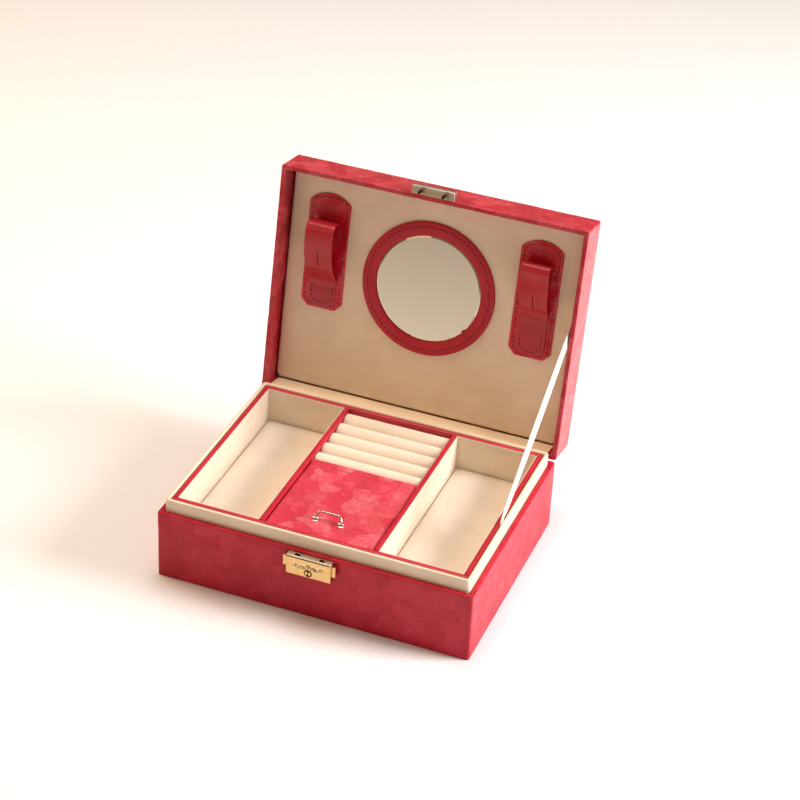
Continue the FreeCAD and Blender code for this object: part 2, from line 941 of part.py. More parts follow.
def make_flap_compartment_liner():
    """Liner under the flap, whose top edge is the ledge that the flap closes on."""
    return open_liner(-centre_x, centre_x, -pocket_y, cross_front, flap_under - ledge_gap, ledge_width)


def make_ring_rolls():
    """Round-topped velvet rolls that grip rings between them."""
    pitch = (pocket_y - cross_back) / roll_count
    radius = (pitch - roll_gap) / 2
    top = tray_top - roll_drop
    end = centre_x - roll_gap / 2
    rolls = []
    for index in range(roll_count):
        y = cross_back + pitch * (index + 0.5)
        stem = box(-end, end, y - radius, y + radius, tray_floor_top, top - radius)
        cap = rod_x(radius, -end, end, y, top - radius)
        rolls.append(joined([stem, cap]))
    return Part.makeCompound(rolls)


# ---- flap ----
def make_flap_board():
    """Board under the flap's leather."""
    return box(-flap_x, flap_x, flap_front, flap_back, flap_under, flap_under + flap_board)


def make_flap_cover():
    """Padded leather on top of the flap."""
    pad = box(-flap_x, flap_x, flap_front, flap_back, flap_under + flap_board, flap_top)
    return fillet_edges(pad, flap_round, at_height(flap_top))


def make_flap_hinge_tape():
    """Leather strip that joins the flap to the cross wall."""
    half = flap_x - flap_gap
    return box(-half, half, flap_back - tape_lap, cross_back, flap_top, flap_top + tape_thickness)


def make_handle_posts():
    """Two small forked posts, each with its pivot pin."""
    posts = []
    half_stalk = ear_stalk / 2
    for side in (-1, 1):
        x = side * handle_span / 2
        base = Part.makeCylinder(post_radius, post_thickness, FreeCAD.Vector(x, handle_y, flap_top), Z_AXIS)
        pieces = [base]
        near = eye_width / 2 + ear_gap
        for cheek in (-1, 1):
            start = x + cheek * near
            end = start + cheek * ear_width
            pieces.append(rod_x(ear_radius, min(start, end), max(start, end), handle_y, handle_z))
            low = flap_top + post_thickness / 2
            pieces.append(box(start, end, handle_y - half_stalk, handle_y + half_stalk, low, handle_z))
        reach = near + ear_width
        pieces.append(rod_x(pivot_pin_radius, x - reach, x + reach, handle_y, handle_z))
        posts.append(joined(pieces))
    return Part.makeCompound(posts)


def make_handle_bail():
    """Arched bail between the posts, leaning back."""
    half = handle_span / 2
    top_half = half - handle_inset
    foot_z = handle_z + eye_radius / 2
    top_z = handle_z + handle_reach
    left_leg = [(-half, foot_z), (-half, handle_neck_z), (-top_half, top_z)]
    corners = left_leg + [(-x, z) for x, z in reversed(left_leg)]
    points = [FreeCAD.Vector(x, handle_y, z) for x, z in corners]
    path = rounded_path(points, handle_bend)
    ring = Part.Wire(Part.makeCircle(wire_radius, points[0], points[1] - points[0]))
    pieces = [path.makePipeShell([ring], True, False)]
    pin_hole = pivot_pin_radius + pivot_clearance
    holes = []
    for x in (-half, half):
        eye_half = eye_width / 2
        hole_half = eye_half + ear_gap
        pieces.append(rod_x(eye_radius, x - eye_half, x + eye_half, handle_y, handle_z))
        holes.append(rod_x(pin_hole, x - hole_half, x + hole_half, handle_y, handle_z))
    bail = cut_all(joined(pieces), holes)
    bail.rotate(FreeCAD.Vector(0, handle_y, handle_z), X_AXIS, -handle_lean)
    return bail


# ---- every node ----
def all_parts():
    """Map each node's name to its shape."""
    return {
        "base_bottom_sheet": make_base_bottom_sheet(),
        "base_floor_board": make_base_floor_board(),
        "base_front_board": make_base_front_board(),
        "base_back_board": make_base_back_board(),
        "base_left_board": make_base_left_board(),
        "base_right_board": make_base_right_board(),
        "base_leather_cover": make_base_leather_cover(),
        "base_floor_liner": make_base_floor_liner(),
        "collar_front": collar_long(-1),
        "collar_back": collar_long(1),
        "collar_left": collar_short(-1),
        "collar_right": collar_short(1),
        "lower_dividers": make_lower_dividers(),
        "lock_back_plate": make_lock_back_plate(),
        "lock_case": make_lock_case(),
        "lock_rivets": make_lock_rivets(),
        "latch_button_left": make_latch_button_left(),
        "latch_button_right": make_latch_button_right(),
        "latch_springs": make_latch_springs(),
        "key_cylinder": make_key_cylinder(),
        "hinge_base_leaves": make_hinge_base_leaves(),
        "hinge_base_screws": make_hinge_base_screws(),
        "hinge_pins": make_hinge_pins(),
        "hinge_lid_leaves": make_hinge_lid_leaves(),
        "hinge_lid_screws": make_hinge_lid_screws(),
        "hinge_lining": make_hinge_lining(),
        "lid_stay_ribbon": make_lid_stay_ribbon(),
        "lid_top_board": make_lid_top_board(),
        "lid_top_foam": make_lid_top_foam(),
        "lid_front_board": make_lid_front_board(),
        "lid_back_board": make_lid_back_board(),
        "lid_left_board": lid_side_board(-1),
        "lid_right_board": lid_side_board(1),
        "lid_leather_cover": make_lid_leather_cover(),
        "lid_lining_panel": make_lid_lining_panel(),
        "mirror_surround": make_mirror_surround(),
        "mirror_glass": make_mirror_glass(),
        "earring_patch_left": earring_patch(-patch_offset),
        "earring_patch_right": earring_patch(patch_offset),
        "earring_strap_left": earring_strap(-patch_offset, strap_lift_left),
        "earring_strap_right": earring_strap(patch_offset, strap_lift_right),
        "striker_plate": make_striker_plate(),
        "striker_hooks": make_striker_hooks(),
        "tray_base_board": make_tray_base_board(),
        "tray_front_wall": tray_long_wall(-1),
        "tray_back_wall": tray_long_wall(1),
        "tray_left_wall": tray_short_wall(-1),
        "tray_right_wall": tray_short_wall(1),
        "tray_left_divider": tray_divider(-1),
        "tray_right_divider": tray_divider(1),
        "tray_cross_wall": make_tray_cross_wall(),
        "left_compartment_liner": make_left_compartment_liner(),
        "right_compartment_liner": make_right_compartment_liner(),
        "flap_compartment_liner": make_flap_compartment_liner(),
        "ring_rolls": make_ring_rolls(),
        "flap_board": make_flap_board(),
        "flap_cover": make_flap_cover(),
        "flap_hinge_tape": make_flap_hinge_tape(),
        "handle_posts": make_handle_posts(),
        "handle_bail": make_handle_bail(),
    }


os.makedirs("parts", exist_ok=True)
for name, shape in all_parts().items():
    shape.exportStep(os.path.join("parts", name + ".step"))
    print(name, len(shape.Solids), round(shape.Volume, 1), shape.isValid())
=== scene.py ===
"""Looks of a leather jewellery case: covers, padding, stitching and metalwork around its frame.

Lengths are in metres. Lid pieces are modelled with the lid shut and then turned back about the hinge line.
"""
import json
import logging
import math
from contextlib import contextmanager
from dataclasses import dataclass
from enum import Enum
from functools import lru_cache
from typing import Callable, Iterable, Iterator, Sequence

import bmesh
import bpy
from mathutils import Matrix, Vector


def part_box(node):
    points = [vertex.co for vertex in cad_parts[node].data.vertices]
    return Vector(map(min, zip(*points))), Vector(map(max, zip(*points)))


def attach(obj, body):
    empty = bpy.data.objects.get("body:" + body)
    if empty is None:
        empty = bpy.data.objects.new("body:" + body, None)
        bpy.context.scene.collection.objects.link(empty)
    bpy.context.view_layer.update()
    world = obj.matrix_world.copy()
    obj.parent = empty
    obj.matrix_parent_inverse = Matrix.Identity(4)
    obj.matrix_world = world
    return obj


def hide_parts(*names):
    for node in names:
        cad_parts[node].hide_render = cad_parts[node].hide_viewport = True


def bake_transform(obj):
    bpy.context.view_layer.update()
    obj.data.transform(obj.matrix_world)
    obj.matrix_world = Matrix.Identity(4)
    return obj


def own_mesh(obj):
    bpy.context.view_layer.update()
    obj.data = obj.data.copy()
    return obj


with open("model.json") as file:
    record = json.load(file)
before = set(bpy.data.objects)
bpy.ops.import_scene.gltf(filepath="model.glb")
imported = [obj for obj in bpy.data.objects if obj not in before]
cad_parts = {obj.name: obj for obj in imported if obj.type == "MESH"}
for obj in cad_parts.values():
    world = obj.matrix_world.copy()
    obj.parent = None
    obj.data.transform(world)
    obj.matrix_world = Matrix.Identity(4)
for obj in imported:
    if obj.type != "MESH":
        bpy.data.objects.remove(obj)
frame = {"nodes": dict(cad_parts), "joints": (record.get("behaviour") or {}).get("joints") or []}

MM = 0.001
TINY = 0.01 * MM
ROUND = 2 * math.pi
LONG = 9 * MM
DOWN = Vector((0, 0, -1))
UP = Vector((0, 0, 1))
Colour = tuple[float, float, float]
Object = bpy.types.Object
Test = Callable[[Vector, Vector], bool]
Waves = tuple[tuple[float, float], ...]
log = logging.getLogger("jewellery_case")


class Slot(Enum):
    """Material slots of the case."""

    RED_LEATHER = "red_leather"
    CREAM_VELVET = "cream_velvet"
    CREAM_LINING = "cream_lining"
    BOARD = "board"
    FOAM = "foam"
    FELT = "bottom_felt"
    GOLD = "gold_metal"
    STEEL = "bright_steel"
    SPRING = "spring_steel"
    MIRROR = "mirror"
    RIBBON = "ribbon"


# ---------------------------------------------------------------- shader writing
class Reading:
    """One shader socket, with the operators of arithmetic."""

    def __init__(self, sheet: "NodeSheet", socket: bpy.types.NodeSocket) -> None:
        """Keep the sheet and the socket."""
        self.sheet = sheet
        self.socket = socket

    def _math(self, operation: str, *terms: "Reading | float") -> "Reading":
        """Add a Math node on the given terms."""
        return self.sheet.add("ShaderNodeMath", {"operation": operation}, dict(enumerate(terms)))

    def __add__(self, other: "Reading | float") -> "Reading":
        """Sum."""
        return self._math("ADD", self, other)

    __radd__ = __add__

    def __mul__(self, other: "Reading | float") -> "Reading":
        """Product."""
        return self._math("MULTIPLY", self, other)

    __rmul__ = __mul__

    def __sub__(self, other: "Reading | float") -> "Reading":
        """Difference."""
        return self._math("SUBTRACT", self, other)

    def __rsub__(self, other: "Reading | float") -> "Reading":
        """Reflected difference."""
        return self._math("SUBTRACT", other, self)

    def sine(self) -> "Reading":
        """Sine."""
        return self._math("SINE", self)

    def ease(self, low: float, high: float) -> "Reading":
        """Rise smoothly from 0 at low to 1 at high."""
        settings = {"interpolation_type": "SMOOTHSTEP"}
        return self.sheet.add("ShaderNodeMapRange", settings, {0: self, 1: low, 2: high, 3: 0.0, 4: 1.0})


class NodeSheet:
    """The node tree of one finish."""

    def __init__(self, name: str) -> None:
        """Start an empty material of that name.

        Args:
            name: The material's name.
        """
        self.material = bpy.data.materials.new(name)
        self.material.use_nodes = True
        self.tree = self.material.node_tree
        self.tree.nodes.clear()

    def node(self, kind: str, settings: dict | None = None, inputs: dict | None = None) -> bpy.types.Node:
        """Add a node.

        Args:
            kind: The node's type.
            settings: Attributes that are set first.
            inputs: Values or readings by socket name or number.

        Returns:
            The new node.
        """
        node = self.tree.nodes.new(kind)
        for name, value in (settings or {}).items():
            setattr(node, name, value)
        for key, value in (inputs or {}).items():
            socket = node.inputs[key]
            if isinstance(value, Reading):
                self.tree.links.new(value.socket, socket)
            elif socket.type == "RGBA":
                socket.default_value = (*value, 1.0)
            else:
                socket.default_value = value
        return node

    def add(self, kind: str, settings: dict | None = None, inputs: dict | None = None,
            output: int | str = 0) -> Reading:
        """Add a node as node() does, and return one of its outputs."""
        return self.read(self.node(kind, settings, inputs), output)

    def read(self, node: bpy.types.Node, output: int | str) -> Reading:
        """Return one output of a node."""
        return Reading(self, node.outputs[output])

    def place(self) -> Reading:
        """Return the Object coordinates."""
        return self.add("ShaderNodeTexCoord", output="Object")

    def noise(self, place: Reading, size: float, detail: float = 2.0, output: int = 0) -> Reading:
        """Noise whose lumps are about the given size."""
        return self.add("ShaderNodeTexNoise", None, {"Vector": place, "Scale": 1 / size, "Detail": detail}, output)

    def vector(self, operation: str, *terms: "Reading | Sequence[float]", output: str = "Vector") -> Reading:
        """Add a Vector Math node."""
        return self.add("ShaderNodeVectorMath", {"operation": operation}, dict(enumerate(terms)), output)

    def blend(self, factor: Reading, first: "Reading | Colour", second: "Reading | Colour") -> Reading:
        """Mix two colours."""
        return self.add("ShaderNodeMix", {"data_type": "RGBA"}, {0: factor, 6: first, 7: second}, 2)

    def bump(self, height: Reading, depth: float) -> Reading:
        """Turn a height from 0 to 1 into a normal."""
        return self.add("ShaderNodeBump", None, {"Strength": 1.0, "Distance": depth, "Height": height}, "Normal")

    def surface(self, **inputs: "Reading | float | Colour") -> bpy.types.Material:
        """Finish with a Principled BSDF. Underscores in the names stand for spaces.

        Args:
            inputs: The values or readings of its sockets.

        Returns:
            The finished material.
        """
        named = {name.replace("_", " "): value for name, value in inputs.items()}
        shader = self.node("ShaderNodeBsdfPrincipled", None, named)
        self.node("ShaderNodeOutputMaterial", None, {"Surface": self.read(shader, 0)})
        return self.material


# ---------------------------------------------------------------- finishes
@dataclass(frozen=True)
class Finish:
    """A finish that can be laid on a piece."""

    name: str

    def paint(self) -> bpy.types.Material:
        """Make the material."""
        raise NotImplementedError


@lru_cache(maxsize=None)
def material_of(finish: Finish) -> bpy.types.Material:
    """Return the material of a finish, made once."""
    return finish.paint()


@dataclass(frozen=True)
class PetalLeather(Finish):
    """Coated crimson leather, embossed with overlapping palette-knife petals."""

    colour: Colour = (0.51, 0.008, 0.034)
    deep: Colour = (0.38, 0.004, 0.019)
    bright: Colour = (0.68, 0.050, 0.090)
    petal: float = 15 * MM
    stroke: float = 1.9 * MM
    relief: float = 1.3 * MM
    roughness: float = 0.36
    gloss: float = 0.24
    patches: float = 0.10
    coat: float = 0.08

    def paint(self) -> bpy.types.Material:
        """Make the material.

        Returns:
            The material.
        """
        sheet = NodeSheet(self.name)
        place = sheet.place()
        wander = sheet.noise(place, 16 * MM, 2.0, 1)
        shifted = sheet.vector("MULTIPLY_ADD", wander, (0.013, 0.013, 0.013), place)
        tilt, tone, reach = self._flakes(sheet, shifted, self.petal)
        chip, chip_tone, _ = self._flakes(sheet, sheet.vector("ADD", shifted, (0.4, 0.7, 0.2)), 0.45 * self.petal)
        rim = sheet.add("ShaderNodeTexVoronoi", {"feature": "DISTANCE_TO_EDGE"},
                        {"Vector": shifted, "Scale": 1 / self.petal})
        ridge = 1.0 - rim.ease(0.0, 0.055)
        ripple = sheet.noise(place, 6 * MM, 2.0)
        strokes = (reach * (ROUND / self.stroke) + ripple * 5.0).sine() * 0.5 + 0.5
        swept = strokes * tone.ease(0.35, 0.85)
        grain = sheet.noise(place, 0.35 * MM, 2.0)
        crumple = sheet.noise(place, 12 * MM, 5.0)
        height = tilt * 0.8 + chip * 0.16 + swept * 0.07 + ridge * 0.05 + grain * 0.02 + crumple * 0.28
        broad = sheet.noise(place, 70 * MM, 3.0).ease(0.35, 0.70)
        base = sheet.blend(broad * 0.60 + tone * 0.25 + chip_tone * 0.15, self.deep, self.colour)
        pale = tone.ease(0.62, 0.70) * self.patches + chip_tone.ease(0.80, 0.86) * self.patches
        # Lighter knife strokes and random pale flakes are the leather's own tone; the lightening along the petal edges
        # (ridge) is a painted highlight.
        stroke_tone_and_ridge_highlight = swept * 0.14 + ridge * 0.09 + pale
        rough = self.roughness + crumple * 0.12 - chip_tone * 0.06
        return sheet.surface(Base_Color=sheet.blend(stroke_tone_and_ridge_highlight, base, self.bright), Roughness=rough,
                             Normal=sheet.bump(height, self.relief), Coat_Weight=self.coat, Coat_Roughness=0.18,
                             Specular_IOR_Level=self.gloss)

    @staticmethod
    def _flakes(sheet: NodeSheet, place: Reading, size: float) -> tuple[Reading, Reading, Reading]:
        """Break a surface into flakes, each leaning its own way.

        Args:
            sheet: The node sheet.
            place: The coordinates.
            size: How wide a flake is.

        Returns:
            The height of each flake's slope, its own random tone, and the distance from a pivot beside it.
        """
        cells = sheet.node("ShaderNodeTexVoronoi", None, {"Vector": place, "Scale": 1 / size})
        tone = sheet.read(cells, "Color")
        aim = sheet.vector("NORMALIZE", sheet.vector("SUBTRACT", tone, (0.5, 0.5, 0.5)))
        middle = sheet.read(cells, "Position")
        local = sheet.vector("SUBTRACT", place, middle)
        lean = sheet.vector("DOT_PRODUCT", local, aim, output="Value") * (1 / size)
        away = 1.1 * size
        pivot = sheet.vector("MULTIPLY_ADD", aim, (away, away, away), middle)
        reach = sheet.vector("DISTANCE", place, pivot, output="Value")
        parts = sheet.node("ShaderNodeSeparateColor", None, {0: tone})
        return lean, sheet.read(parts, 1), reach


@dataclass(frozen=True)
class PlainLeather(Finish):
    """Smooth coated leather with a fine pebble grain."""

    colour: Colour = (0.55, 0.016, 0.045)
    deep: Colour = (0.41, 0.008, 0.025)
    grain: float = 0.55 * MM
    relief: float = 0.04 * MM
    roughness: float = 0.36
    gloss: float = 0.35
    coat: float = 0.10
    sheen: float = 0.0

    def paint(self) -> bpy.types.Material:
        """Make the material.

        Returns:
            The material.
        """
        sheet = NodeSheet(self.name)
        place = sheet.place()
        pebble = sheet.add("ShaderNodeTexVoronoi", {"feature": "SMOOTH_F1"},
                           {"Vector": place, "Scale": 1 / self.grain})
        crease = sheet.noise(place, 7 * MM, 5.0)
        height = pebble * 0.5 + crease * 1.3
        patch = sheet.noise(place, 26 * MM, 3.0).ease(0.30, 0.72)
        colour = sheet.blend(patch * 0.7 + pebble * 0.25, self.deep, self.colour)
        rough = self.roughness + crease * 0.14
        return sheet.surface(Base_Color=colour, Roughness=rough, Normal=sheet.bump(height, self.relief),
                             Coat_Weight=self.coat, Coat_Roughness=0.14, Sheen_Weight=self.sheen,
                             Specular_IOR_Level=self.gloss)


@dataclass(frozen=True)
class Velvet(Finish):
    """Short-pile velvet whose nap is brushed in soft patches."""

    colour: Colour = (0.82, 0.73, 0.62)
    shade: Colour = (0.66, 0.54, 0.42)
    pile: float = 0.30 * MM

    def paint(self) -> bpy.types.Material:
        """Make the material.

        Returns:
            The material.
        """
        sheet = NodeSheet(self.name)
        place = sheet.place()
        pile = sheet.noise(place, self.pile, 2.0)
        nap = sheet.noise(place, 18 * MM, 3.0).ease(0.35, 0.75)
        fleck = sheet.noise(place, 1.1 * MM, 2.0)
        colour = sheet.blend(nap * 0.25 + fleck * 0.30, self.colour, self.shade)
        height = pile * 0.7 + fleck * 0.5 + nap * 0.6
        return sheet.surface(Base_Color=colour, Roughness=0.88 + pile * 0.10,
                             Normal=sheet.bump(height, 0.10 * MM), Sheen_Weight=0.35, Sheen_Roughness=0.5,
                             Specular_IOR_Level=0.2)


@dataclass(frozen=True)
class Metal(Finish):
    """Plated metal with faint polishing lines and finger marks."""

    colour: Colour = (0.72, 0.47, 0.20)
    dull: Colour = (0.44, 0.27, 0.11)
    roughness: float = 0.20
    along: tuple[float, float, float] = (60.0, 1500.0, 2600.0)

    def paint(self) -> bpy.types.Material:
        """Make the material.

        Returns:
            The material.
        """
        sheet = NodeSheet(self.name)
        place = sheet.place()
        stretched = sheet.vector("MULTIPLY", place, self.along)
        lines = sheet.add("ShaderNodeTexNoise", None, {"Vector": stretched, "Scale": 1.0, "Detail": 3.0})
        marks = sheet.noise(place, 7 * MM, 3.0).ease(0.45, 0.75)
        colour = sheet.blend(marks * 0.20 + lines * 0.15, self.colour, self.dull)
        rough = self.roughness + marks * 0.05 + lines * 0.05
        return sheet.surface(Base_Color=colour, Metallic=1.0, Roughness=rough,
                             Normal=sheet.bump(lines, 0.010 * MM))


@dataclass(frozen=True)
class MirrorSilver(Finish):
    """Silvered glass with the faintest haze."""

    colour: Colour = (0.58, 0.51, 0.42)
    haze_colour: Colour = (0.55, 0.48, 0.39)
    roughness: float = 0.015

    def paint(self) -> bpy.types.Material:
        """Make the material.

        Returns:
            The material.
        """
        sheet = NodeSheet(self.name)
        haze = sheet.noise(sheet.place(), 20 * MM, 3.0).ease(0.4, 0.8)
        colour = sheet.blend(haze * 0.3, self.colour, self.haze_colour)
        return sheet.surface(Base_Color=colour, Metallic=1.0, Roughness=self.roughness + haze * 0.025)


@dataclass(frozen=True)
class Satin(Finish):
    """Woven satin ribbon with fine ribs along its length."""

    colour: Colour = (0.93, 0.89, 0.82)
    rib: float = 0.45 * MM

    def paint(self) -> bpy.types.Material:
        """Make the material.

        Returns:
            The material.
        """
        sheet = NodeSheet(self.name)
        across = sheet.add("ShaderNodeUVMap", {"uv_map": "weave"})
        ribs = sheet.add("ShaderNodeTexWave", {"wave_profile": "SIN"},
                         {"Vector": across, "Scale": 0.314 / self.rib, "Distortion": 0.4, "Detail": 1.0}, 1)
        soft = sheet.noise(sheet.place(), 9 * MM, 2.0)
        colour = sheet.blend(soft * 0.5 + ribs * 0.2, self.colour, (0.80, 0.73, 0.62))
        return sheet.surface(Base_Color=colour, Roughness=0.34 + ribs * 0.15,
                             Normal=sheet.bump(ribs, 0.05 * MM), Sheen_Weight=0.3)


@dataclass(frozen=True)
class Fibre(Finish):
    """Pressed board, foam or felt: loose fibres in two tones."""

    colour: Colour
    fleck: Colour
    size: float
    relief: float

    def paint(self) -> bpy.types.Material:
        """Make the material.

        Returns:
            The material.
        """
        sheet = NodeSheet(self.name)
        place = sheet.place()
        fibres = sheet.noise(place, self.size, 6.0)
        lumps = sheet.noise(place, 8 * self.size, 3.0)
        colour = sheet.blend(fibres.ease(0.35, 0.65), self.colour, self.fleck)
        return sheet.surface(Base_Color=colour, Roughness=0.85 + lumps * 0.1,
                             Normal=sheet.bump(fibres + lumps, self.relief))


@dataclass(frozen=True)
class Thread(Finish):
    """Twisted sewing thread."""

    colour: Colour = (0.030, 0.003, 0.006)

    def paint(self) -> bpy.types.Material:
        """Make the material.

        Returns:
            The material.
        """
        sheet = NodeSheet(self.name)
        twist = sheet.noise(sheet.place(), 0.25 * MM, 1.0)
        colour = sheet.blend(twist, self.colour, (0.07, 0.006, 0.010))
        return sheet.surface(Base_Color=colour, Roughness=0.6 + twist * 0.2,
                             Normal=sheet.bump(twist, 0.05 * MM))


@dataclass(frozen=True)
class PaleFloor(Finish):
    """Plain pale table top."""

    colour: Colour = (0.87, 0.93, 1.0)

    def paint(self) -> bpy.types.Material:
        """Make the material.

        Returns:
            The material.
        """
        sheet = NodeSheet(self.name)
        mottle = sheet.noise(sheet.place(), 150 * MM, 3.0)
        colour = sheet.blend(mottle * 0.15, self.colour, (0.85, 0.91, 0.98))
        return sheet.surface(Base_Color=colour, Roughness=0.7)


CRIMSON = PetalLeather("embossed_crimson")
# Glossier, more coated leather for the flap and its hinge strip; its paler, pinker colours are painted light, the lit
# look of the flap's upward face.
GLOSSY_CRIMSON_PAINTED_LIGHT = PetalLeather("glossy_embossed_crimson_painted_light", petal=15 * MM, stroke=1.6 * MM, relief=2.2 * MM,
                              roughness=0.24, gloss=0.5, coat=0.4, patches=0.20, colour=(0.67, 0.050, 0.092),
                              deep=(0.52, 0.030, 0.062), bright=(0.82, 0.15, 0.19))
CRIMSON_LID = PetalLeather("embossed_crimson_lid", petal=13 * MM, relief=2.2 * MM, roughness=0.28, gloss=0.4,
                           patches=0.12, coat=0.22, bright=(0.80, 0.16, 0.20))
CRIMSON_RIM = PlainLeather("glossy_crimson_rim", roughness=0.26, gloss=0.5, coat=0.4, relief=0.08 * MM)
CRIMSON_FINE = PetalLeather("fine_embossed_crimson", petal=12 * MM, stroke=1.4 * MM, relief=1.4 * MM,
                            roughness=0.22, gloss=0.4, coat=0.2, colour=(0.66, 0.008, 0.034),
                            deep=(0.48, 0.004, 0.018))
CRIMSON_PLAIN = PlainLeather("smooth_crimson", colour=(0.50, 0.009, 0.032), deep=(0.40, 0.006, 0.021))
CRIMSON_STRAP = PlainLeather("strap_crimson", colour=(0.48, 0.010, 0.028), deep=(0.38, 0.006, 0.018),
                             roughness=0.28, gloss=0.4, coat=0.25)
CREAM_HIDE = PlainLeather("cream_lining_leather", colour=(0.84, 0.72, 0.57), deep=(0.76, 0.63, 0.48),
                          grain=0.8 * MM, relief=0.035 * MM, roughness=0.46, coat=0.04, sheen=0.15)
# A brighter, warmer copy of the cream lining leather: painted light falling on the hinge cloth.
PAINTED_LIGHT_CREAM_HIDE = PlainLeather("painted_light_cream_hinge_leather", colour=(0.96, 0.81, 0.58), deep=(0.90, 0.74, 0.51),
                          grain=0.8 * MM, relief=0.035 * MM, roughness=0.46, coat=0.04, sheen=0.15)
CREAM_VELVET = Velvet("cream_velvet")
GOLD = Metal("gold_plate")
PALE_GOLD = Metal("pale_gold_plate", colour=(0.66, 0.57, 0.47), dull=(0.45, 0.37, 0.29), roughness=0.30)
# Near-black steel: the striker hooks' finish, and painted shade inside the lock's hollow, slots, bore and keyway.
DARK_STEEL_AND_PAINTED_SHADE = Metal("blackened_steel_and_painted_shade", colour=(0.035, 0.030, 0.028), dull=(0.015, 0.012, 0.010), roughness=0.45)
BRASS = Metal("hinge_brass", colour=(0.78, 0.56, 0.27), dull=(0.45, 0.30, 0.13), roughness=0.28)
STEEL = Metal("bright_plate", colour=(0.62, 0.58, 0.55), dull=(0.36, 0.33, 0.31), roughness=0.10)
# Dark gold for painted shade under the lock's stamped ridge.
PAINTED_SHADE_GOLD = Metal("painted_shade_gold", colour=(0.22, 0.12, 0.045), dull=(0.12, 0.06, 0.02), roughness=0.30)
# Bright gold for a painted highlight on the lock's stamped ridge.
PAINTED_HIGHLIGHT_GOLD = Metal("painted_highlight_gold", colour=(0.95, 0.76, 0.45), dull=(0.78, 0.58, 0.30), roughness=0.24)
SPRING = Metal("spring_wire", colour=(0.52, 0.52, 0.52), dull=(0.35, 0.34, 0.33), roughness=0.30)
SILVER = MirrorSilver("mirror_silver")
# Pale matt stand-in for the mirror's polished bevel: a painted highlight, the pale line the bevel reflects all round.
PAINTED_HIGHLIGHT_GLASS_EDGE = Fibre("painted_highlight_glass_edge", (0.74, 0.68, 0.56), (0.66, 0.60, 0.48), 2 * MM, 0.01 * MM)
SATIN = Satin("cream_satin")
THREAD = Thread("dark_red_thread")
BOARD = Fibre("grey_board", (0.42, 0.36, 0.28), (0.55, 0.48, 0.38), 0.8 * MM, 0.06 * MM)
FOAM = Fibre("white_foam", (0.85, 0.82, 0.74), (0.92, 0.90, 0.84), 0.6 * MM, 0.10 * MM)
FELT = Fibre("dark_red_felt", (0.13, 0.010, 0.016), (0.20, 0.018, 0.026), 0.5 * MM, 0.12 * MM)
PALE_FLOOR = PaleFloor("pale_floor")


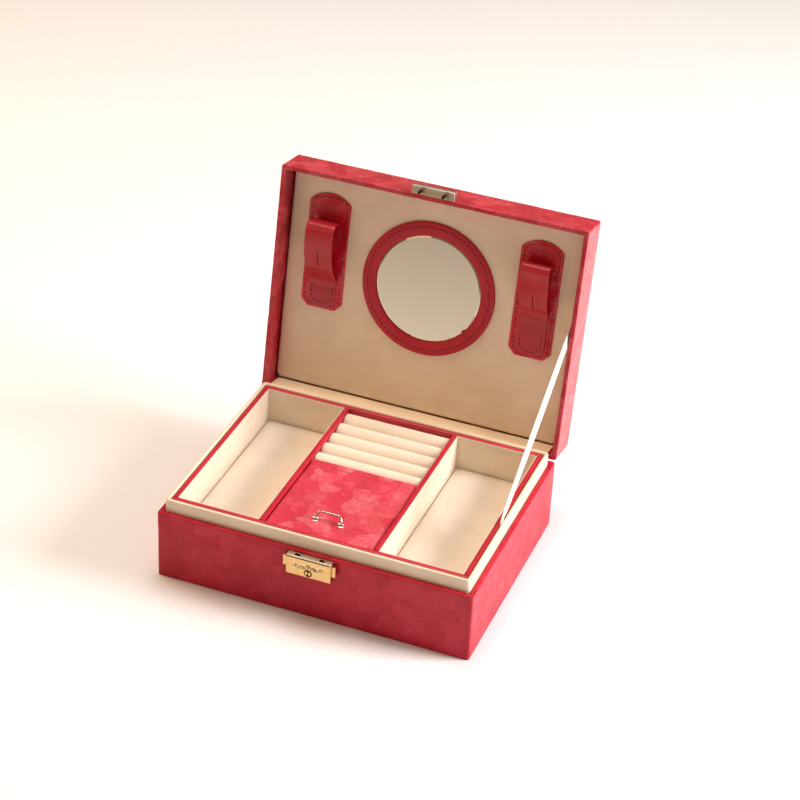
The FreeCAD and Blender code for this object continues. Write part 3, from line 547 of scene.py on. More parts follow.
# ---------------------------------------------------------------- modelling bench
class Bench:
    """Operations on one object at a time."""

    @staticmethod
    def hold(obj: Object) -> Object:
        """Select one object alone and make it active.

        Args:
            obj: The piece.

        Returns:
            The same piece.
        """
        bpy.ops.object.select_all(action="DESELECT")
        obj.select_set(True)
        bpy.context.view_layer.objects.active = obj
        return obj

    @staticmethod
    def take(name: str) -> Object:
        """Name the primitive that was just added, and put its place in its mesh.

        Args:
            name: The new object's name.

        Returns:
            The same piece.
        """
        obj = bpy.context.active_object
        obj.name = name
        obj.data.name = name
        bpy.ops.object.transform_apply(location=True, rotation=True, scale=True)
        return obj

    @classmethod
    def block(cls, name: str, low: Vector, high: Vector) -> Object:
        """Add a box between two corners.

        Args:
            name: The new object's name.
            low: The low corner.
            high: The high corner.

        Returns:
            The new piece.
        """
        bpy.ops.object.select_all(action="DESELECT")
        bpy.ops.mesh.primitive_cube_add(size=1.0, location=(low + high) / 2, scale=high - low)
        return cls.take(name)

    @classmethod
    def disc(cls, name: str, radius: float, low: Vector, high: Vector, sides: int = 64) -> Object:
        """Add a round bar between two points.

        Args:
            name: The new object's name.
            radius: The radius.
            low: The middle of one end.
            high: The middle of the other end.
            sides: How many sides it has.

        Returns:
            The new piece.
        """
        bpy.ops.object.select_all(action="DESELECT")
        along = high - low
        turn = along.to_track_quat("Z", "Y").to_euler()
        bpy.ops.mesh.primitive_cylinder_add(vertices=sides, radius=radius, depth=along.length,
                                            location=(low + high) / 2, rotation=turn)
        return cls.take(name)

    @classmethod
    def ball(cls, name: str, radius: float, centre: Vector, stretch: Sequence[float] = (1, 1, 1),
             sides: int = 24) -> Object:
        """Add a ball, stretched along the axes.

        Args:
            name: The new object's name.
            radius: The radius.
            centre: The middle.
            stretch: How much it is stretched along each axis.
            sides: How many sides it has.

        Returns:
            The new piece.
        """
        bpy.ops.object.select_all(action="DESELECT")
        bpy.ops.mesh.primitive_uv_sphere_add(segments=sides, ring_count=sides // 2, radius=radius,
                                             location=centre, scale=stretch)
        return cls.take(name)

    @classmethod
    @contextmanager
    def editing(cls, obj: Object, mode: str = "FACE") -> Iterator[bmesh.types.BMesh]:
        """Open a mesh in edit mode with nothing selected.

        Args:
            obj: The piece.
            mode: What is selected in edit mode: VERT, EDGE or FACE.

        Returns:
            The mesh in edit mode.
        """
        cls.hold(obj)
        bpy.ops.object.mode_set(mode="EDIT")
        bpy.ops.mesh.select_all(action="DESELECT")
        bpy.ops.mesh.select_mode(type=mode)
        yield bmesh.from_edit_mesh(obj.data)
        bpy.ops.object.mode_set(mode="OBJECT")

    @staticmethod
    def pick_faces(mesh: bmesh.types.BMesh, test: Test) -> None:
        """Select the faces whose centre and normal pass the test, and no others.

        Args:
            mesh: The mesh in edit mode.
            test: The test, on a face's centre and normal.
        """
        bpy.ops.mesh.select_all(action="DESELECT")
        for face in mesh.faces:
            if test(face.calc_center_median(), face.normal):
                face.select_set(True)

    @classmethod
    def round_edges(cls, obj: Object, radius: float, test: Test, segments: int = 4) -> Object:
        """Bevel the edges whose ends pass the test.

        Args:
            obj: The piece.
            radius: The radius.
            test: The test, on an edge's two ends.
            segments: How many segments the bevel has.

        Returns:
            The same piece.
        """
        with cls.editing(obj, "EDGE") as mesh:
            for edge in mesh.edges:
                if test(edge.verts[0].co, edge.verts[1].co):
                    edge.select_set(True)
            bpy.ops.mesh.bevel(offset=radius, segments=segments, affect="EDGES", clamp_overlap=True)
        return obj

    @classmethod
    def shell(cls, name: str, low: Vector, high: Vector, corner: float, segments: int = 5) -> Object:
        """Add four walls with rounded corners, open above and below.

        Args:
            name: The new object's name.
            low: The low corner.
            high: The high corner.
            corner: The radius of the upright corners.
            segments: How many segments the bevel has.

        Returns:
            The new piece.
        """
        obj = cls.block(name, low, high)
        tall = abs(high.z - low.z) * 0.9
        cls.round_edges(obj, corner, lambda a, b: abs(a.z - b.z) > tall, segments)
        with cls.editing(obj) as mesh:
            cls.pick_faces(mesh, lambda at, way: abs(way.z) > 0.9)
            bpy.ops.mesh.delete(type="FACE")
        return obj

    @classmethod
    def fold_in(cls, obj: Object, level: float, inset: float, corners: tuple[float, float],
                drop: float = 0.0) -> Object:
        """Turn the open loop at one height in towards the middle.

        Args:
            obj: The mesh, open at that height.
            level: The height.
            inset: How far the loop is drawn in.
            corners: The corner radius of the loop now, and of the loop after it is drawn in.
            drop: How far the drawn-in loop is then carried up (or, below 0, down).

        Returns:
            The same object.
        """
        with cls.editing(obj, "EDGE") as mesh:
            for edge in mesh.edges:
                if edge.is_boundary and all(abs(vertex.co.z - level) < TINY for vertex in edge.verts):
                    edge.select_set(True)
            bpy.ops.mesh.extrude_region_move()
            loop = [vertex for vertex in bmesh.from_edit_mesh(obj.data).verts if vertex.select]
            for axis in range(2):
                values = [vertex.co[axis] for vertex in loop]
                middle, half = (min(values) + max(values)) / 2, (max(values) - min(values)) / 2
                for vertex in loop:
                    away = vertex.co[axis] - middle
                    bend = max(0.0, abs(away) - half + corners[0]) * corners[1] / corners[0]
                    vertex.co[axis] = middle + math.copysign(half - inset - corners[1] + bend, away)
            if drop:
                bpy.ops.mesh.extrude_region_move(TRANSFORM_OT_translate={"value": (0, 0, drop)})
        return obj

    @classmethod
    def round_ring(cls, obj: Object, level: float, radius: float, segments: int = 4) -> Object:
        """Bevel every edge at one height that has a wall on one side and a level ring on the other.

        Args:
            obj: The piece.
            level: The height.
            radius: The radius.
            segments: How many segments the bevel has.

        Returns:
            The same piece.
        """
        with cls.editing(obj, "EDGE") as mesh:
            for edge in mesh.edges:
                faces = edge.link_faces
                flat = all(abs(vertex.co.z - level) < TINY for vertex in edge.verts)
                if flat and len(faces) == 2 and abs(faces[0].normal.dot(faces[1].normal)) < 0.3:
                    edge.select_set(True)
            bpy.ops.mesh.bevel(offset=radius, segments=segments, affect="EDGES", clamp_overlap=True)
        return obj

    @classmethod
    def slice_up(cls, obj: Object, axis: int, places: Iterable[float]) -> Object:
        """Cut a mesh across one axis at each place, leaving it whole.

        Args:
            obj: The piece.
            axis: The axis, from 0 to 2.
            places: Where the cuts lie along the axis.

        Returns:
            The same piece.
        """
        normal = Vector((axis == 0, axis == 1, axis == 2))
        with cls.editing(obj):
            for place in places:
                bpy.ops.mesh.select_all(action="SELECT")
                bpy.ops.mesh.bisect(plane_co=normal * place, plane_no=normal)
        return obj

    @classmethod
    def grid(cls, obj: Object, step: Sequence[float]) -> Object:
        """Cut a mesh into cells of about the given size on each axis. A size of 0 leaves that axis alone.

        Args:
            obj: The piece.
            step: The size of a cell on each axis, or 0 to leave that axis whole.

        Returns:
            The same piece.
        """
        for axis, size in enumerate(step):
            if size:
                values = [vertex.co[axis] for vertex in obj.data.vertices]
                low, high = min(values), max(values)
                count = max(1, round((high - low) / size))
                cls.slice_up(obj, axis, [low + (high - low) * k / count for k in range(1, count)])
        return obj

    @classmethod
    def modify(cls, obj: Object, kind: str, **settings: object) -> Object:
        """Add a modifier and apply it.

        Args:
            obj: The piece.
            kind: The modifier's type.
            settings: The modifier's settings.

        Returns:
            The same piece.
        """
        cls.hold(obj)
        modifier = obj.modifiers.new(kind.lower(), kind)
        for name, value in settings.items():
            setattr(modifier, name, value)
        bpy.ops.object.modifier_apply(modifier=modifier.name)
        return obj

    @classmethod
    def soften(cls, obj: Object, width: float, segments: int) -> Object:
        """Bevel every edge that is sharper than 60 degrees."""
        return cls.modify(obj, "BEVEL", width=width, segments=segments, limit_method="ANGLE",
                          angle_limit=math.radians(60))

    @classmethod
    def crinkle(cls, obj: Object, waves: Waves) -> Object:
        """Push a mesh in and out along its normals with soft noise.

        Args:
            obj: The piece.
            waves: The size and the depth of each noise.

        Returns:
            The same piece.
        """
        for size, depth in waves:
            cloud = bpy.data.textures.new(obj.name + "_crinkle", "CLOUDS")
            cloud.noise_scale = size
            cloud.noise_depth = 2
            cls.modify(obj, "DISPLACE", texture=cloud, strength=depth, mid_level=0.5, texture_coords="LOCAL")
        return obj

    @classmethod
    def thicken(cls, obj: Object, wall: float, side: float = -1.0) -> Object:
        """Give a sheet its thickness."""
        return cls.modify(obj, "SOLIDIFY", thickness=wall, offset=side, use_even_offset=False,
                          use_quality_normals=True)

    @staticmethod
    def mould(obj: Object, change: Callable[[Vector], Vector]) -> Object:
        """Move every vertex to where the given rule puts it.

        Args:
            obj: The piece.
            change: The rule, from the old place to the new one.

        Returns:
            The same piece.
        """
        for vertex in obj.data.vertices:
            vertex.co = change(vertex.co)
        return obj

    @classmethod
    def carve(cls, obj: Object, tool: Object) -> Object:
        """Cut a tool out of an object, and throw the tool away.

        Args:
            obj: The piece.
            tool: The piece that is cut out of it.

        Returns:
            The same piece.
        """
        cls.modify(obj, "BOOLEAN", object=tool, operation="DIFFERENCE", solver="EXACT")
        bpy.data.objects.remove(tool)
        return obj

    @staticmethod
    def repeat(obj: Object, move: Matrix) -> Object:
        """Copy a piece with its own mesh, and move the copy.

        Args:
            obj: The piece.
            move: Where the copy goes, from the first one.

        Returns:
            The copy.
        """
        copy = obj.copy()
        copy.data = obj.data.copy()
        bpy.context.scene.collection.objects.link(copy)
        copy.data.transform(move)
        return copy

    @classmethod
    def join(cls, name: str, pieces: Sequence[Object]) -> Object:
        """Join several objects into one.

        Args:
            name: The new object's name.
            pieces: The pieces.

        Returns:
            The joined piece.
        """
        cls.hold(pieces[0])
        for piece in pieces:
            piece.select_set(True)
        bpy.ops.object.join()
        pieces[0].name = name
        return pieces[0]

    @classmethod
    def tidy(cls, obj: Object) -> Object:
        """Merge doubles and turn every face outwards.

        Args:
            obj: The piece.

        Returns:
            The same piece.
        """
        with cls.editing(obj, "VERT"):
            bpy.ops.mesh.select_all(action="SELECT")
            bpy.ops.mesh.remove_doubles(threshold=0.00001)
            bpy.ops.mesh.normals_make_consistent(inside=False)
        return obj

    @classmethod
    def smooth(cls, obj: Object, degrees: float = 40.0) -> Object:
        """Shade smooth across edges flatter than the given angle.

        Args:
            obj: The piece.
            degrees: The angle in degrees.

        Returns:
            The same piece.
        """
        cls.hold(obj)
        bpy.ops.object.shade_smooth_by_angle(angle=math.radians(degrees))
        return obj


def edges_at(level: float, axis: int = 0, run: float = -1.0) -> Test:
    """Return a test for the edges that lie at one height or above it."""
    return lambda a, b: min(a.z, b.z) > level - TINY and abs(a[axis] - b[axis]) > run


def edges_under(level: float) -> Test:
    """Return a test for the edges that lie at one height or below it."""
    return lambda a, b: max(a.z, b.z) < level + TINY


def upright_edges(run: float) -> Test:
    """Return a test for the edges that rise by more than the given height."""
    return lambda a, b: abs(a.z - b.z) > run


def joint_named(name: str) -> dict:
    """Return one joint of the frame."""
    return next(joint for joint in frame["joints"] if joint["name"] == name)


def dress(obj: Object, finish: Finish, stands_for: Sequence[str] = ()) -> Object:
    """Give a piece its finish and the nodes that it takes the place of.

    Args:
        obj: The piece.
        finish: The finish.
        stands_for: The nodes that it takes the place of.

    Returns:
        The same piece.
    """
    obj.data.materials.clear()
    obj.data.materials.append(material_of(finish))
    if stands_for:
        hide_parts(*stands_for)
    return obj


def lay_on(obj: Object, finish: Finish, body: str, stands_for: Sequence[str] = ()) -> Object:
    """Dress a finished piece, set what it stands for and let it ride on its body.

    Args:
        obj: The finished piece.
        finish: Its finish.
        body: The moving body that carries it.
        stands_for: The plain nodes that it takes the place of.

    Returns:
        The same piece.
    """
    dress(obj, finish, stands_for)
    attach(obj, body)
    log.info("%s: %d faces on %s", obj.name, len(obj.data.polygons), body)
    return obj


def paint_faces(obj: Object, finish: Finish, test: Test) -> None:
    """Give the faces whose centre and normal pass the test a second finish.

    Args:
        obj: The piece.
        finish: The finish.
        test: The test, on a face's centre and normal.
    """
    obj.data.materials.append(material_of(finish))
    last = len(obj.data.materials) - 1
    for face in obj.data.polygons:
        if test(face.center, face.normal):
            face.material_index = last


# ---------------------------------------------------------------- the hinge line
class HingeLine:
    """Turns pieces between the shut lid and the open lid."""

    def __init__(self) -> None:
        """Read the lid's joint."""
        joint = joint_named("lid_hinge")
        self.centre = Vector(joint["pos_m"])
        self.angle = math.radians(abs(joint["range_deg"][0]))
        to_line = Matrix.Translation(self.centre)
        turn = Matrix.Rotation(-self.angle, 4, "X")
        self.opening = to_line @ turn @ to_line.inverted()
        self.shutting = self.opening.inverted()

    def open(self, obj: Object) -> Object:
        """Turn a piece that was modelled on the shut lid.

        Args:
            obj: The piece.

        Returns:
            The same piece, opened.
        """
        Bench.hold(obj)
        obj.matrix_world = self.opening
        bpy.ops.object.transform_apply(location=True, rotation=True, scale=True)
        return obj

    def shut_box(self, node: str) -> tuple[Vector, Vector]:
        """Return the two corners of a node as it lies with the lid shut.

        Args:
            node: The node's name.

        Returns:
            The low corner and the high corner.
        """
        places = [self.shutting @ vertex.co for vertex in frame["nodes"][node].data.vertices]
        low = Vector(min(place[axis] for place in places) for axis in range(3))
        high = Vector(max(place[axis] for place in places) for axis in range(3))
        return low, high


HINGE = HingeLine()


# ---------------------------------------------------------------- sewing
def smooth_line(points: Sequence[Vector], steps: int) -> list[Vector]:
    """Run a smooth line through the points.

    Args:
        points: The points that the line passes through.
        steps: How many short runs lie between two points.

    Returns:
        The points of the line.
    """
    padded = [2 * points[0] - points[1], *points, 2 * points[-1] - points[-2]]
    line = []
    for a, b, c, d in zip(padded, padded[1:], padded[2:], padded[3:]):
        for k in range(steps):
            t = k / steps
            line.append(0.5 * (2 * b + (c - a) * t + (2 * a - 5 * b + 4 * c - d) * t ** 2
                               + (3 * b - a - 3 * c + d) * t ** 3))
    return line + [points[-1].copy()]


def evenly(points: Sequence[Vector], pitch: float) -> list[tuple[Vector, Vector]]:
    """Walk along a line and return a place and a direction at each equal step.

    Args:
        points: The points of the line.
        pitch: The length of a step.

    Returns:
        A place and a direction for each step.
    """
    lengths = [(b - a).length for a, b in zip(points, points[1:])]
    total = sum(lengths)
    count = max(2, round(total / pitch))
    found = []
    for k in range(count):
        left = total * (k + 0.5) / count
        for a, b, length in zip(points, points[1:], lengths):
            if left <= length:
                found.append((a.lerp(b, left / length), (b - a).normalized()))
                break
            left -= length
    return found


@dataclass
class Seam:
    """A row of stitches."""

    thread: float = 0.36 * MM
    stitch: float = 2.7 * MM
    pitch: float = 4.1 * MM
    lift: float = 0.10 * MM

    def sew(self, name: str, line: Sequence[Vector], outward: Vector | Callable[[Vector], Vector]) -> Object:
        """Sew along a line.

        Args:
            name: The new object's name.
            line: The points of the line, on the surface.
            outward: The direction out of the surface, or a rule that gives it at a place.

        Returns:
            One object with every stitch.
        """
        model = Bench.ball("stitch", 1.0, Vector(), (self.stitch / 2, self.thread, self.thread), 8)
        copies = []
        for place, along in evenly(line, self.pitch):
            out = outward(place) if callable(outward) else outward
            side = out.cross(along).normalized()
            turn = Matrix((along, side, along.cross(side))).transposed().to_4x4()
            copies.append(Bench.repeat(model, Matrix.Translation(place + out * self.lift) @ turn))
        bpy.data.objects.remove(model)
        return Bench.smooth(Bench.join(name, copies), 80)


# ---------------------------------------------------------------- sub-assemblies
@dataclass
class BodyCover:
    """Leather skin of the body, turned in over the rim."""

    skin: float = 0.8 * MM
    corner: float = 2.2 * MM
    rim_round: float = 1.3 * MM
    turn_in: float = 9 * MM
    cell: float = 4.5 * MM
    inner_corner: float = 0.5 * MM
    mitre: float = 0.35 * MM
    mitre_width: float = 1.2 * MM
    mitre_depth: float = 5 * MM
    mitre_cut: float = 0.8 * MM
    rim_gap: float = 0.06 * MM
    creases: Waves = ((14 * MM, 0.34 * MM), (4 * MM, 0.10 * MM))

    def build(self) -> Object:
        """Make the skin.

        Returns:
            The finished piece.
        """
        low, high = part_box("base_leather_cover")
        rim = high.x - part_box("collar_right")[1].x
        skin = Bench.shell("body_leather", low, high, self.corner)
        Bench.fold_in(skin, high.z, rim, (self.corner, self.inner_corner), -self.turn_in)
        Bench.tidy(skin)
        Bench.round_ring(skin, high.z, self.rim_round)
        Bench.grid(skin, (self.cell, self.cell, self.cell))
        self._fold_corners(skin, high)
        Bench.crinkle(skin, self.creases)
        Bench.mould(skin, lambda at: Vector((at.x, at.y, min(max(at.z, low.z), high.z - self.rim_gap))))
        Bench.thicken(skin, self.skin)
        Bench.smooth(skin)
        return lay_on(skin, CRIMSON, "base", ["base_leather_cover"])

    def _fold_corners(self, skin: Object, high: Vector) -> None:
        """Press a mitre crease into the rim at each corner.

        Args:
            skin: The skin.
            high: The skin's high corner.
        """
        offset = high.x - high.y

        def fold(at: Vector) -> Vector:
            """Lower a point that lies on a corner's diagonal.

            Args:
                at: The point.

            Returns:
                Where the point goes.
            """
            away = abs(abs(at.x) - abs(at.y) - offset)
            near = max(0.0, 1 - away / self.mitre_width)
            top = max(0.0, 1 - (high.z - at.z) / self.mitre_depth)
            return Vector((at.x, at.y, at.z - self.mitre * near * near * top))

        half = math.sqrt(0.5)
        with Bench.editing(skin):
            for side in (-1, 1):
                for shift in (-self.mitre_cut, 0.0, self.mitre_cut):
                    bpy.ops.mesh.select_all(action="SELECT")
                    bpy.ops.mesh.bisect(plane_co=(offset + shift, 0, 0), plane_no=(half, side * half, 0))
                    bpy.ops.mesh.select_all(action="SELECT")
                    bpy.ops.mesh.bisect(plane_co=(-offset - shift, 0, 0), plane_no=(half, side * half, 0))
        Bench.mould(skin, fold)


@dataclass
class LidCover:
    """Leather skin of the lid, turned in over the rim."""

    skin: float = 0.8 * MM
    corner: float = 1.9 * MM
    top_round: float = 1.7 * MM
    rim_round: float = 1.0 * MM
    rim_gap: float = 0.06 * MM
    lining_lap: float = 1.0 * MM
    turn_in: float = 21 * MM
    inner_corner: float = 0.5 * MM
    cell: float = 4.5 * MM
    creases: Waves = ((13 * MM, 0.40 * MM), (4 * MM, 0.14 * MM))

    def build(self) -> Object:
        """Make the skin.

        Returns:
            The finished piece.
        """
        low, high = HINGE.shut_box("lid_leather_cover")
        lining = HINGE.shut_box("lid_lining_panel")[1]
        rim = high.x - lining.x - self.lining_lap
        skin = Bench.block("lid_leather", low, high)
        Bench.round_edges(skin, self.corner, upright_edges(self.corner), 5)
        with Bench.editing(skin) as mesh:
            Bench.pick_faces(mesh, lambda at, way: way.z < -0.9)
            bpy.ops.mesh.delete(type="FACE")
        Bench.round_ring(skin, high.z, self.top_round, 5)
        Bench.fold_in(skin, low.z, rim, (self.corner, self.inner_corner), self.turn_in)
        Bench.tidy(skin)
        Bench.round_ring(skin, low.z, self.rim_round)
        Bench.grid(skin, (self.cell, self.cell, self.cell))
        Bench.crinkle(skin, self.creases)
        Bench.mould(skin, lambda at: Vector((at.x, at.y, max(at.z, low.z + self.rim_gap))))
        Bench.thicken(skin, self.skin)
        Bench.smooth(skin)
        HINGE.open(skin)
        return lay_on(skin, CRIMSON_LID, "lid", ["lid_leather_cover"])


@dataclass
class Collar:
    """Padded cream band that stands inside the rim."""

    top_round: float = 1.45 * MM
    corner: float = 3.0 * MM
    inner_corner: float = 0.8 * MM
    cell: float = 5 * MM
    cuts: tuple[float, ...] = (2.0 * MM, 4.5 * MM, 7.5 * MM, 10.0 * MM, 13.0 * MM)
    creases: Waves = ((20 * MM, 0.16 * MM),)

    def build(self) -> Object:
        """Make the band.

        Returns:
            The finished piece.
        """
        low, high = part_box("collar_right")
        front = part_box("collar_front")[0]
        wall = high.x - low.x
        reach = Vector((high.x, -front.y, high.z))
        band = Bench.shell("collar_band", Vector((-reach.x, -reach.y, low.z)), reach, self.corner)
        Bench.fold_in(band, reach.z, wall, (self.corner, self.inner_corner), low.z - reach.z)
        Bench.fold_in(band, low.z, wall, (self.corner, self.inner_corner))
        Bench.tidy(band)
        Bench.round_ring(band, reach.z, self.top_round)
        Bench.grid(band, (self.cell, self.cell, 0))
        Bench.slice_up(band, 2, [high.z - depth for depth in self.cuts])
        Bench.crinkle(band, self.creases)
        Bench.smooth(band, 50)
        lay_on(band, CREAM_HIDE, "base",
               ["collar_front", "collar_back", "collar_left", "collar_right"])
        return band


@dataclass
class LowerLayer:
    """Velvet floor and dividers under the tray."""

    gap: float = 0.3 * MM
    pad_round: float = 0.5 * MM
    board_round: float = 1.2 * MM
    cell: float = 8 * MM
    pad_creases: Waves = ((30 * MM, 0.25 * MM),)
    board_creases: Waves = ((15 * MM, 0.12 * MM),)

    def build(self) -> None:
        """Make the floor pad and the two dividers."""
        low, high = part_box("base_floor_liner")
        gap = Vector((self.gap, self.gap, 0))
        floor = Bench.block("lower_floor_pad", low + gap, high - gap)
        Bench.round_edges(floor, self.pad_round, edges_at(high.z), 3)
        Bench.grid(floor, (self.cell, self.cell, 0))
        Bench.crinkle(floor, self.pad_creases)
        Bench.smooth(floor)
        lay_on(floor, CREAM_VELVET, "base", ["base_floor_liner"])
        low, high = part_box("lower_dividers")
        inner = min(round(abs(vertex.co.x), 5) for vertex in frame["nodes"]["lower_dividers"].data.vertices)
        for side, name in ((-1, "left"), (1, "right")):
            near, far = sorted((side * inner, side * high.x))
            board = Bench.block(f"lower_divider_{name}", Vector((near, low.y, low.z)), Vector((far, high.y, high.z)))
            Bench.round_edges(board, self.board_round, edges_at(high.z, 1, LONG), 4)
            Bench.grid(board, (0, self.cell, self.cell))
            Bench.crinkle(board, self.board_creases)
            Bench.smooth(board)
            lay_on(board, CREAM_VELVET, "base", ["lower_dividers"])


@dataclass
class Tray:
    """Lift-out tray: wrapped walls, linings, floor pads and ring rolls."""

    rim_round: float = 1.25 * MM
    cell: float = 5 * MM
    wall_step: float = 9 * MM
    wall_creases: Waves = ((9 * MM, 0.14 * MM),)
    base_round: float = 0.6 * MM
    base_cell: float = 12 * MM
    lining_edge: float = 0.3 * MM
    lining_corner: float = 1.3 * MM
    lining_cell: float = 7 * MM
    lining_creases: Waves = ((16 * MM, 0.10 * MM),)
    pad_height: float = 0.9 * MM
    pad_lift: float = 1.0 * MM
    pad_gap: float = 1.1 * MM
    pad_corner: float = 5 * MM
    pad_edge: float = 0.4 * MM
    pad_cell: float = 6 * MM
    pad_creases: Waves = ((24 * MM, 0.25 * MM),)
    roll_count: int = 5
    roll_gap: float = 0.4 * MM
    roll_crown: float = 0.47
    roll_end: float = 1.2 * MM
    roll_step: tuple[float, float, float] = (3.5 * MM, 0, 7 * MM)
    roll_creases: Waves = ((11 * MM, 0.42 * MM),)
    walls: tuple[str, ...] = ("front_wall", "back_wall", "left_wall", "right_wall", "left_divider",
                              "right_divider", "cross_wall")
    card: tuple[tuple[str, float], ...] = (("left", 0.8 * MM), ("right", 0.8 * MM), ("flap", 1.6 * MM))

    def build(self) -> None:
        """Make every piece of the tray."""
        for wall in self.walls:
            self._wall(wall)
        self._base()
        for part, wall in self.card:
            self._lining(part, wall)
            self._floor_pad(part, wall)
        self._rolls()

    def _wall(self, wall: str) -> None:
        """Wrap one wall board in leather.

        Args:
            wall: The wall's name, without tray_.
        """
        low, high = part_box("tray_" + wall)
        board = Bench.block("leather_" + wall, low, high)
        longest = max(range(2), key=lambda axis: (high - low)[axis])
        Bench.round_edges(board, self.rim_round, edges_at(high.z, longest, self.cell), 5)
        step = [0.0, 0.0, self.wall_step]
        step[longest] = self.cell
        Bench.grid(board, step)
        Bench.crinkle(board, self.wall_creases)
        Bench.smooth(board, 50)
        lay_on(board, CRIMSON_RIM, "tray", ["tray_" + wall])

    def _base(self) -> None:
        """Wrap the tray's floor board."""
        low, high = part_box("tray_base_board")
        board = Bench.block("tray_base_leather", low, high)
        Bench.round_edges(board, self.base_round, edges_under(low.z), 3)
        Bench.grid(board, (self.base_cell, self.base_cell, 0))
        Bench.smooth(board, 50)
        lay_on(board, CRIMSON_PLAIN, "tray", ["tray_base_board"])

    def _lining(self, part: str, wall: float) -> None:
        """Line one compartment with velvet over thin card.

        Args:
            part: The compartment: left, right or flap.
            wall: How thick the card is.
        """
        node = f"{part}_compartment_liner"
        low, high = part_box(node)
        tub = Bench.block(f"{part}_lining", low, high)
        with Bench.editing(tub) as mesh:
            Bench.pick_faces(mesh, lambda at, way: way.z > 0.9)
            bpy.ops.mesh.delete(type="FACE")
        Bench.thicken(tub, wall)
        Bench.round_edges(tub, self.lining_edge, edges_at(high.z), 2)
        middle = (low.x + high.x) / 2
        inside = (high.x - low.x) / 2 - 0.6 * wall
        Bench.round_edges(tub, self.lining_corner,
                          lambda a, b: abs(a.z - b.z) > LONG and abs(a.x - middle) < inside, 4)
        Bench.grid(tub, (self.lining_cell, self.lining_cell, self.lining_cell))
        Bench.crinkle(tub, self.lining_creases)
        Bench.smooth(tub, 50)
        lay_on(tub, CREAM_VELVET, "tray", [node])

    def _floor_pad(self, part: str, wall: float) -> None:
        """Lay a loose velvet pad on the floor of one compartment.

        Args:
            part: The compartment: left, right or flap.
            wall: How thick the card is.
        """
        low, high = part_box(f"{part}_compartment_liner")
        edge = wall + self.pad_gap
        floor = low.z + self.pad_lift
        pad = Bench.block(f"{part}_floor_pad", Vector((low.x + edge, low.y + edge, floor)),
                          Vector((high.x - edge, high.y - edge, floor + self.pad_height)))
        Bench.round_edges(pad, self.pad_corner, upright_edges(self.pad_height / 2), 3)
        Bench.round_edges(pad, self.pad_edge, edges_at(floor + self.pad_height), 3)
        Bench.grid(pad, (self.pad_cell, self.pad_cell, 0))
        Bench.crinkle(pad, self.pad_creases)
        Bench.smooth(pad, 50)
        lay_on(pad, CREAM_VELVET, "tray")

    def _rolls(self) -> None:
        """Make the round-topped velvet rolls, each a copy of the first."""
        low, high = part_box("ring_rolls")
        pitch = (high.y - low.y + self.roll_gap) / self.roll_count
        width = pitch - self.roll_gap
        first = Bench.block("ring_roll_1", low, Vector((high.x, low.y + width, high.z)))
        Bench.round_edges(first, width * self.roll_crown, edges_at(high.z, 0, LONG), 9)
        Bench.round_edges(first, self.roll_end, lambda a, b: abs(a.x - b.x) < TINY and max(a.z, b.z) > low.z + LONG, 3)
        Bench.grid(first, self.roll_step)
        rolls = [first]
        for index in range(1, self.roll_count):
            roll = Bench.repeat(first, Matrix.Translation((0, pitch * index, 0)))
            roll.name = roll.data.name = f"ring_roll_{index + 1}"
            rolls.append(roll)
        for roll in rolls:
            Bench.crinkle(roll, self.roll_creases)
            Bench.smooth(roll, 60)
            lay_on(roll, CREAM_VELVET, "tray", ["ring_rolls"])


